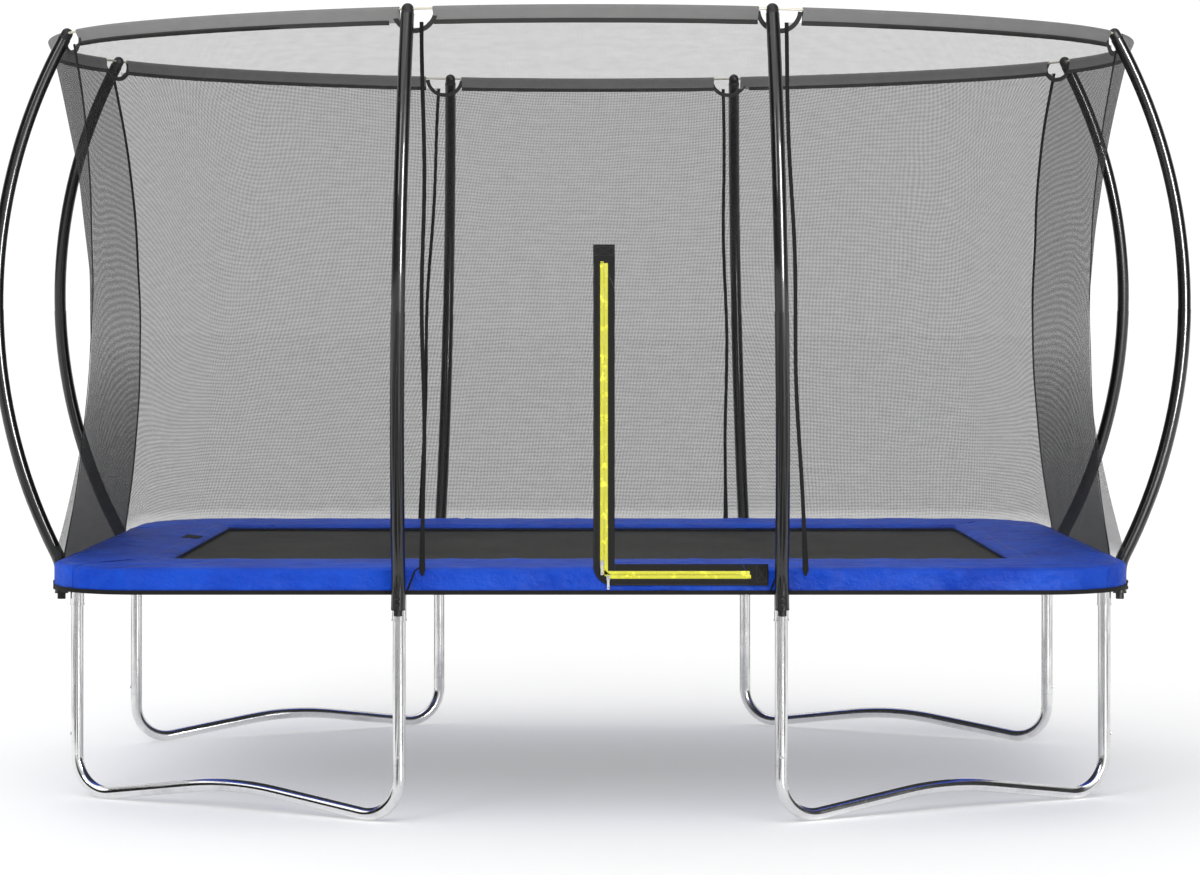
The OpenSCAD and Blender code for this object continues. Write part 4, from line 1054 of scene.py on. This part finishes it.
def ringShape():
    # four-sided wire ring with rounded bars, its long bar in the mat's loop
    base, tip, w = 0.0064, 0.034, 0.034
    line = [(base, -w / 2), (tip, -w / 4), (tip, w / 4), (base, w / 2)]
    rings = []
    for i, (x, y) in enumerate(line):
        (px, py), (nx, ny) = line[i - 1], line[(i + 1) % 4]
        d0, d1 = Vector((x - px, y - py)).normalized(), Vector((nx - x, ny - y)).normalized()
        out = Vector((d0.y + d1.y, -d0.x - d1.x)).normalized()
        reach = 0.002 / max(0.5, out.dot(Vector((d1.y, -d1.x))))
        z = sum(c.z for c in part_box("mat_rings")) / 2
        rings.append([(x + out.x * reach * math.cos(a), y + out.y * reach * math.cos(a), z + 0.002 * math.sin(a))
                      for a in np.radians(range(0, 360, 60))])
    points, faces, _ = swept(rings, closed=True)
    return shapeObject("ringShape", points, faces)


def loopShape():
    # folded strap round the ring's bar, sewn under the hem
    z = sum(c.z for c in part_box("mat_rings")) / 2
    outline = [(-0.03, z - 0.001), (0.002, z - 0.0034), (0.009, z - 0.0036), (0.0112, z - 0.002),
               (0.0112, z + 0.002), (0.009, z + 0.0036), (0.002, z + 0.0036), (-0.03, z + 0.003),
               (-0.03, z + 0.0022), (0.002, z + 0.0026), (0.0088, z + 0.0026), (0.0101, z + 0.0015),
               (0.0101, z - 0.0015), (0.0088, z - 0.0026), (0.002, z - 0.0025), (-0.03, z - 0.0002)]
    rings = [[(x, y, h) for x, h in outline] for y in (0.0125, -0.0125)]
    points, faces, _ = swept(rings)
    return shapeObject("loopShape", points, faces)


def makeSprings():
    groups = springSpots()
    tree = springTree()
    hookZ = railZ + railR + 0.0025
    allPlaces, allTurns = [], []
    for name, (places, angle, node) in groups.items():
        turned = [(0, 0, angle)] * len(places)
        piece = grow(name, tree, places, turned, Finish=springWire, Hookheight=float(hookZ))
        way, first = np.array([math.cos(angle), math.sin(angle), 0]), places[0]
        tuple(first + way * 0.012)
        tuple(first + way * 0.22)
        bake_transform(piece)
        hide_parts(node)
        allPlaces += places
        allTurns += turned
    ring, loop = ringShape(), loopShape()
    rings = grow("matRings", copies, allPlaces, allTurns, Shape=ring, Finish=bolt)
    rideOn(rings, "jump_mat", "galvanised_steel", "mat_rings")
    rideOn(grow("matLoops", copies, allPlaces, allTurns, Shape=loop, Finish=thread), "jump_mat", "black_webbing")
    tidyShapes(ring, loop)


print("mat and springs")
makeMat()
makeSprings()

pad = {
    "reachX": 0.34, "reachY": 0.37,  # inwards from the rails to the opening
    "crown": 0.007, "edge": 0.009, "wall": 0.0022, "pillow": 0.0048,
    "alongStep": 0.012, "split": 0.009,
    "tab": 0.17, "tabL": 0.19,  # place along the left pad, and its length
    "slits": (0.048, -0.016), "slitW": 0.0032,  # from the leg at each end of a side
}


def waves(u, t, seed):
    # uneven soft folds across a pad, from a few slanting waves
    rng = np.random.default_rng(seed)
    total = np.zeros(np.broadcast(u, t).shape)
    for _ in range(9):
        k, tilt, phase, size = rng.uniform(9, 46), rng.uniform(-1.4, 1.4), rng.uniform(0, 6.3), rng.uniform(0.4, 1)
        turn = k * (u + tilt * t * 0.35) + phase + 1.2 * np.sin(7 * u + phase)
        total = total + size * (0.6 * np.sin(turn) + 1.1 * (1 - np.abs(np.sin(turn * 0.37 + 2))) ** 4)
    return total / 4.5


def makePad(side, seed):
    leg, rail, _ = sideOf(side)
    other = railX if isLong(side) else railY
    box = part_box("pad_" + side)
    top, skirtLow = box[1].z, box[0].z
    bottom = top - 0.018
    inner = rail - (pad["reachY"] if isLong(side) else pad["reachX"])
    half = other - (pad["reachX"] if isLong(side) else pad["reachY"])
    r = bendR + net["line"] - 0.0009 - 0.0008
    cx, cy = rail - bendR, other - bendR
    arc = arcPoints(cx, cy, r, 45 - 0.12, 0, 26)  # (out, along)
    straight = [[cx + r, cy * s] for s in np.linspace(0.97, -0.97, int(2 * cy / pad["alongStep"]))]
    edge = np.concatenate([arc, straight, (arc * (1, -1))[::-1]])[::-1]
    gaps = np.concatenate([[0], np.cumsum(np.linalg.norm(np.diff(edge, axis=0), axis=1))])
    u = gaps - gaps[-1] / 2
    # the opening's edge: evenly spread, the corners on the mitre
    inAlong = np.interp(gaps, [0, gaps[-1]], [-half + 0.0008, half - 0.0008])
    inside = np.stack([np.full(len(edge), inner), inAlong], -1)
    ts = np.concatenate([[0, 0.004, 0.016], np.linspace(0.05, 0.95, 22), [0.982, 0.995, 1.0]])
    drop = np.linspace(0, 1, 10)[1:]
    folds = waves(u[:, None], ts[None, :], seed) * np.sin(np.pi * ts)[None, :] ** 0.5
    fine = waves(u[:, None] * 2.7, ts[None, :] * 2, seed + 50)
    crown = 1 - np.abs(2 * ts - 1) ** 3.2
    edgeRound = np.interp(ts, [0, 0.016, 0.05, 0.95, 0.982, 1.0], [-pad["edge"], -0.003, 0, 0, -0.0022, -0.007])
    height = top - 0.002 + pad["crown"] * crown[None, :] + edgeRound[None, :]
    height = height + pad["pillow"] * folds + 0.0007 * fine * crown[None, :]
    # tucks beside the poles, where the cover is slit to let the net's ties through
    for spot in (-leg - 0.01, leg - 0.085) if isLong(side) else (-leg, leg):
        tuck = np.exp(-((u[:, None] - spot - 0.03 * (1 - ts)[None, :]) / 0.007) ** 2)
        tuck = tuck * np.clip((ts - 0.55) / 0.35, 0, 1)[None, :]
        puff = np.exp(-((u[:, None] - spot) / 0.04) ** 2) * np.clip((ts - 0.6) / 0.3, 0, 1)[None, :]
        height += -pad["split"] * tuck + 0.003 * puff * (1 - tuck)
    topRows = inside[:, None, :] + (edge - inside)[:, None, :] * ts[None, :, None]
    loops, cloth = [], []
    for i in range(len(edge)):
        e = edge[i]
        outward = np.array([1.0, 0.0]) if abs(e[1]) <= cy else (e - (cx, math.copysign(cy, e[1]))) / r
        rippleIn = 0.0011 * (1 + math.sin(u[i] * 31 + seed) * 0.6 + 0.4 * math.sin(u[i] * 77))
        loop = [(*topRows[i, j], height[i, j]) for j in range(len(ts))]
        cl = [(u[i], float(t) * np.linalg.norm(e - inside[i])) for t in ts]
        start = height[i, -1]
        for d in drop:
            z = start + (skirtLow - start) * d
            p = e - outward * (rippleIn * math.sin(np.pi * min(1, d * 0.8 + 0.1)))
            loop.append((*p, z))
            cl.append((u[i], cl[len(ts) - 1][1] + (start - z)))
        for d in drop[::-1]:
            z = skirtLow + (bottom - 0.0004 - skirtLow) * (1 - (d - drop[0]) / (1 - drop[0]))
            p = e - outward * (pad["wall"] + rippleIn * math.sin(np.pi * min(1, d * 0.8 + 0.1)) * 0.5)
            loop.append((*p, z))
            cl.append((u[i], 0.5 + z))
        for t in (0.9, 0.6, 0.3, 0.1, 0.004):
            p = inside[i] + (e - inside[i]) * t
            loop.append((*p, bottom))
            cl.append((u[i], 0.6 + t * 0.34))
        loops.append([placed(side, p[0], p[1], p[2]) for p in loop])
        cloth += cl
    points, faces, cloth = swept(loops, cloth)
    name = "pad" + side.capitalize()
    piece = makePiece(name, points, faces, padCover, cloth, sharp=50)
    rideOn(piece, "frame", "blue_pad", "pad_" + side)
    return loops, u, ts


def patch(grid, low, high, way=(0, 0, 1)):
    # thin closed patch that lies on a grid of points, between two distances from it
    skins = [(grid + np.asarray(way) * d).reshape(-1, 3) for d in (low, high)]
    return np.concatenate(skins), skinFaces(*grid.shape[:2]), np.concatenate([clothOf(grid).reshape(-1, 2)] * 2)


def makePadTrim(side, data):
    # a black binding along the skirt's foot, slits beside the legs, and places and turns for the stitches
    loops, u, ts = data
    count = len(ts)
    parts, foot = [], []
    for loop in loops:
        p, q = np.array(loop[count + 8]), np.array(loop[count + 9])
        out = p - q
        out /= np.linalg.norm(out)
        middle = (p + q) / 2
        foot.append([middle + out * a + np.array([0, 0, b])
                     for a, b in ((-0.0014, -0.001), (0.0013, -0.001), (0.0013, 0.002), (-0.0014, 0.002))])
    parts.append(swept(foot, [(x, y) for x in u for y in (0, 0.003, 0.01, 0.013)]))
    lines = [np.array([loop[col] for loop in loops]) for col in (5, count - 5)]
    if side == "left":
        # a sewn seam across this pad, ending in a short tab over the opening's edge
        row = int(np.argmin(np.abs(u + pad["tab"])))
        across = np.array(loops[row][:count])
        lines.append(across)
        parts.append(patch(np.stack([across + (0, d, 0) for d in (0.0016, -0.0016)], 1), -0.0004, 0.0008))
        rows = np.abs(u + pad["tab"]) < pad["tabL"] / 2
        parts.append(patch(np.array(loops)[rows][:, 3:8], -0.0006, 0.0016))
    skin = np.array(loops)[:, count - 6:count + 9]
    for end, off in zip((-1, 1), pad["slits"]):
        # a bound slit beside the leg, slanting from the top down to the hem
        spot = end * sideOf(side)[0] + off
        cut = [[[np.interp(spot + 0.02 - 0.045 * k / skin.shape[1] + w, u, skin[:, k, a]) for a in range(3)]
                for w in (pad["slitW"], -pad["slitW"])] for k in range(skin.shape[1])]
        parts.append(patch(np.array(cut)[:, ::-1], -0.0004, 0.0008, placed(side, 0.7, 0, 0.7)))
    points, faces, cloth = joined(parts)
    piece = makePiece("padFoot" + side.capitalize(), points, faces, webbing, cloth)
    rideOn(piece, "frame", "black_webbing")
    places, turned = [], []
    for line in lines:
        far = np.concatenate([[0], np.cumsum(np.linalg.norm(np.diff(line, axis=0), axis=1))])
        at = np.arange(0.01, far[-1], 0.009)
        spots = np.stack([np.interp(at, far, line[:, k]) for k in range(3)], -1)
        for a, b in zip(spots, np.roll(spots, -1, 0)):
            places.append(a)
            turned.append((0, 0, math.atan2(b[1] - a[1], b[0] - a[0])))
        places.pop()
        turned.pop()
    return places, turned


print("pads")
stitchPlaces, stitchTurns = [], []
for number, side in enumerate(("front", "back", "left", "right")):
    spots, angles = makePadTrim(side, makePad(side, 11 + number))
    stitchPlaces += spots
    stitchTurns += angles
stitch = blockShape("stitch", 0.0052, 0.0012, 0.0008)
rideOn(grow("padStitches", copies, stitchPlaces, stitchTurns, Shape=stitch, Finish=paleThread), "frame", "blue_pad")
tidyShapes(stitch)


def strapLoop(side, along, outline, width=0.018):
    rings = [[placed(side, o, along + w, z) for o, z in outline] for w in (-width / 2, width / 2)]
    return swept(rings, [(w, i * 0.012) for w in (0, width) for i in range(len(outline))])


def makeStraps():
    # straps from the pads round the rails, and ties from the net's foot to the rails
    pads, ties = [], []
    for side in turns:
        leg, rail, _ = sideOf(side)
        bend = (railX if isLong(side) else railY) - bendR
        ring = [tuple(p) for p in arcPoints(rail, railZ, railR + 0.0016, 100, 440, 26)]
        back = [tuple(p) for p in arcPoints(rail, railZ, railR + 0.0004, 440, 100, 26)]
        out = rail + net["line"] + 0.0016
        low = net["low"] - 0.0014
        high, half, thick = railZ - railR - 0.0002, 0.0006, 0.0012
        tie = [(rail - half, low), (out, low), (out, low + thick), (rail + half, low + thick), (rail + half, high),
               (rail - half, high)]
        for s in (-1, 1):
            for i in (2, 4, 8):
                if i * leg / 5 < bend:
                    pads.append(strapLoop(side, s * i * leg / 5, ring + back))
            for i in (1, 3, 7):
                if i * leg / 5 < bend:
                    ties.append(strapLoop(side, s * i * leg / 5, tie, 0.012))
    for name, node, parts in (("padStraps", "pad_straps", pads), ("netTies", "net_ties", ties)):
        points, faces, cloth = joined(parts)
        rideOn(makePiece(name, points, faces, webbing, cloth), "frame", "black_webbing", node)


print("straps")
makeStraps()


def paint(material, *names):
    for name in names:
        node = nodes[name]
        node.data.materials.clear()
        node.data.materials.append(material)


print("frame finishes")
quarters = [f"{a}_{b}" for a in ("front", "back") for b in ("left", "right")]
paint(steel, *["rail_" + s for s in turns], *[kind + q for kind in ("corner_", "base_") for q in quarters],
      "leg_sockets", "legs")
paint(bolt, "base_screws", "pole_nuts", "ring_ferrules", "zip_slider_up", "zip_slider_across")
paint(polePaint, *["poles_lower_" + s for s in turns], *["poles_upper_" + s for s in turns])
paint(moulding, "pole_caps", "pole_plugs", "pole_spacers")
paint(blackBolt, "pole_bolts")
paint(rod, "ring_rods")
paint(pullWhite, "zip_pull_up", "zip_pull_across")


camera = {"lens": 88.5, "place": (0.03, -10.82, 1.63), "shift": (0.0005, -0.095)}
lights = {
    "sun": {"turn": (0.3, -0.25, 0), "spread": 1.3, "power": 1.65},
    "strip": {"at": (4.5, -8.0, 3.6), "wide": 1.5, "tall": 4.0, "power": 1300},
    "key": {"at": (-5.0, -9.0, 6.0), "wide": 3.0, "tall": 3.0, "power": 170},
    # brightness of the surroundings in reflections, by the angle round the upright axis from -180 to 180 degrees
    "round": ((-180, 1.0), (-118, 1.0), (-100, 0.03), (-24, 0.02), (6, 0.9), (40, 1.0), (54, 0.05), (100, 0.05),
              (122, 1.0), (180, 1.0)),
    "roundPower": 0.78, "seenPower": 1.06,
    # dark cards on the floor that only reflections see: middle and width across
    "cards": ((-5.6, 1.6), (-3.7, 0.8), (-2.6, 0.9), (-1.2, 0.8), (0.0, 0.7), (1.2, 0.8), (2.5, 0.7), (3.8, 1.1),
              (5.6, 1.4)),
    "cardFrom": 1.75, "cardTo": 15, "cardUp": 0.002,
}


def makeStudio():
    data = bpy.data.cameras.new("camera")
    data.lens, data.sensor_width, data.sensor_fit = camera["lens"], 36, "HORIZONTAL"
    data.shift_x, data.shift_y = camera["shift"]
    eye = bpy.data.objects.new("camera", data)
    eye.location, eye.rotation_euler = camera["place"], (math.pi / 2, 0, 0)
    scene.collection.objects.link(eye)
    scene.camera = eye
    floor = Finish("studio floor", gloss=0.0)
    grain = floor.noise(3, 2)
    floor.feed(colour=floor.mixed(grain, (0.74, 0.74, 0.74), (0.77, 0.77, 0.77)), rough=0.8 + grain * 0.1)
    floor.shader.inputs["Emission Color"].default_value = (1, 1, 1, 1)
    floor.shader.inputs["Emission Strength"].default_value = 0.33
    size = 400
    points = [(-size, -size, 0), (size, -size, 0), (size, size, 0), (-size, size, 0)]
    ground = makePiece("studioFloor", points, [(0, 1, 2, 3)], floor.material)
    near, far = lights["cardFrom"], lights["cardTo"]
    corners = [(x + w * a, y, lights["cardUp"]) for x, w in lights["cards"] for y0, y1 in ((-far, -near), (near, far))
               for a, y in ((-0.5, y0), (0.5, y0), (0.5, y1), (-0.5, y1))]
    quads = [range(i, i + 4) for i in range(0, len(corners), 4)]
    cards = makePiece("studioCards", corners, quads, makeMoulding("black card"))
    cards.visible_camera = cards.visible_diffuse = cards.visible_shadow = False
    sun = bpy.data.lights.new("sun", "SUN")
    sun.energy, sun.angle = lights["sun"]["power"], lights["sun"]["spread"]
    holder = bpy.data.objects.new("sun", sun)
    holder.rotation_euler = lights["sun"]["turn"]
    scene.collection.objects.link(holder)
    for name in ("strip", "key"):
        settings = lights[name]
        lamp = bpy.data.lights.new(name, "AREA")
        lamp.shape, lamp.energy = "RECTANGLE", settings["power"]
        lamp.size, lamp.size_y = settings["wide"], settings["tall"]
        holder = bpy.data.objects.new(name, lamp)
        holder.location = settings["at"]
        holder.rotation_euler = (Vector((0, 0, 1.4)) - Vector(settings["at"])).to_track_quat("-Z", "Y").to_euler()
        holder.visible_diffuse = name == "key"
        scene.collection.objects.link(holder)
    # white to the eye, and bands of light and dark all round in reflections
    scene.view_settings.view_transform = "Standard"
    world = bpy.data.worlds.new("studio")
    scene.world = world
    world.use_nodes = True
    tree = world.node_tree
    way = addNode(tree, "ShaderNodeTexCoord", out="Generated")
    x = addNode(tree, "ShaderNodeSeparateXYZ", {}, {0: way}, 0)
    y = Wire(tree, x.socket.node.outputs[1])
    turn = x.maths("ARCTAN2", x, 0 - y) * (0.5 / math.pi) + 0.5
    stops = [(angle / 360 + 0.5, (level,) * 3) for angle, level in lights["round"]]
    around = addNode(tree, "ShaderNodeValToRGB", {"stops": stops}, {0: turn})
    seen = addNode(tree, "ShaderNodeLightPath", out="Is Camera Ray")
    tone = addNode(tree, "ShaderNodeMix", {"data_type": "RGBA"}, {0: seen, 6: around, 7: (1, 1, 1, 1)}, 2)
    back = tree.nodes["Background"]
    tree.links.new(tone.socket, back.inputs[0])
    strength = seen * (lights["seenPower"] - lights["roundPower"]) + lights["roundPower"]
    tree.links.new(strength.socket, back.inputs[1])


print("studio")
makeStudio()
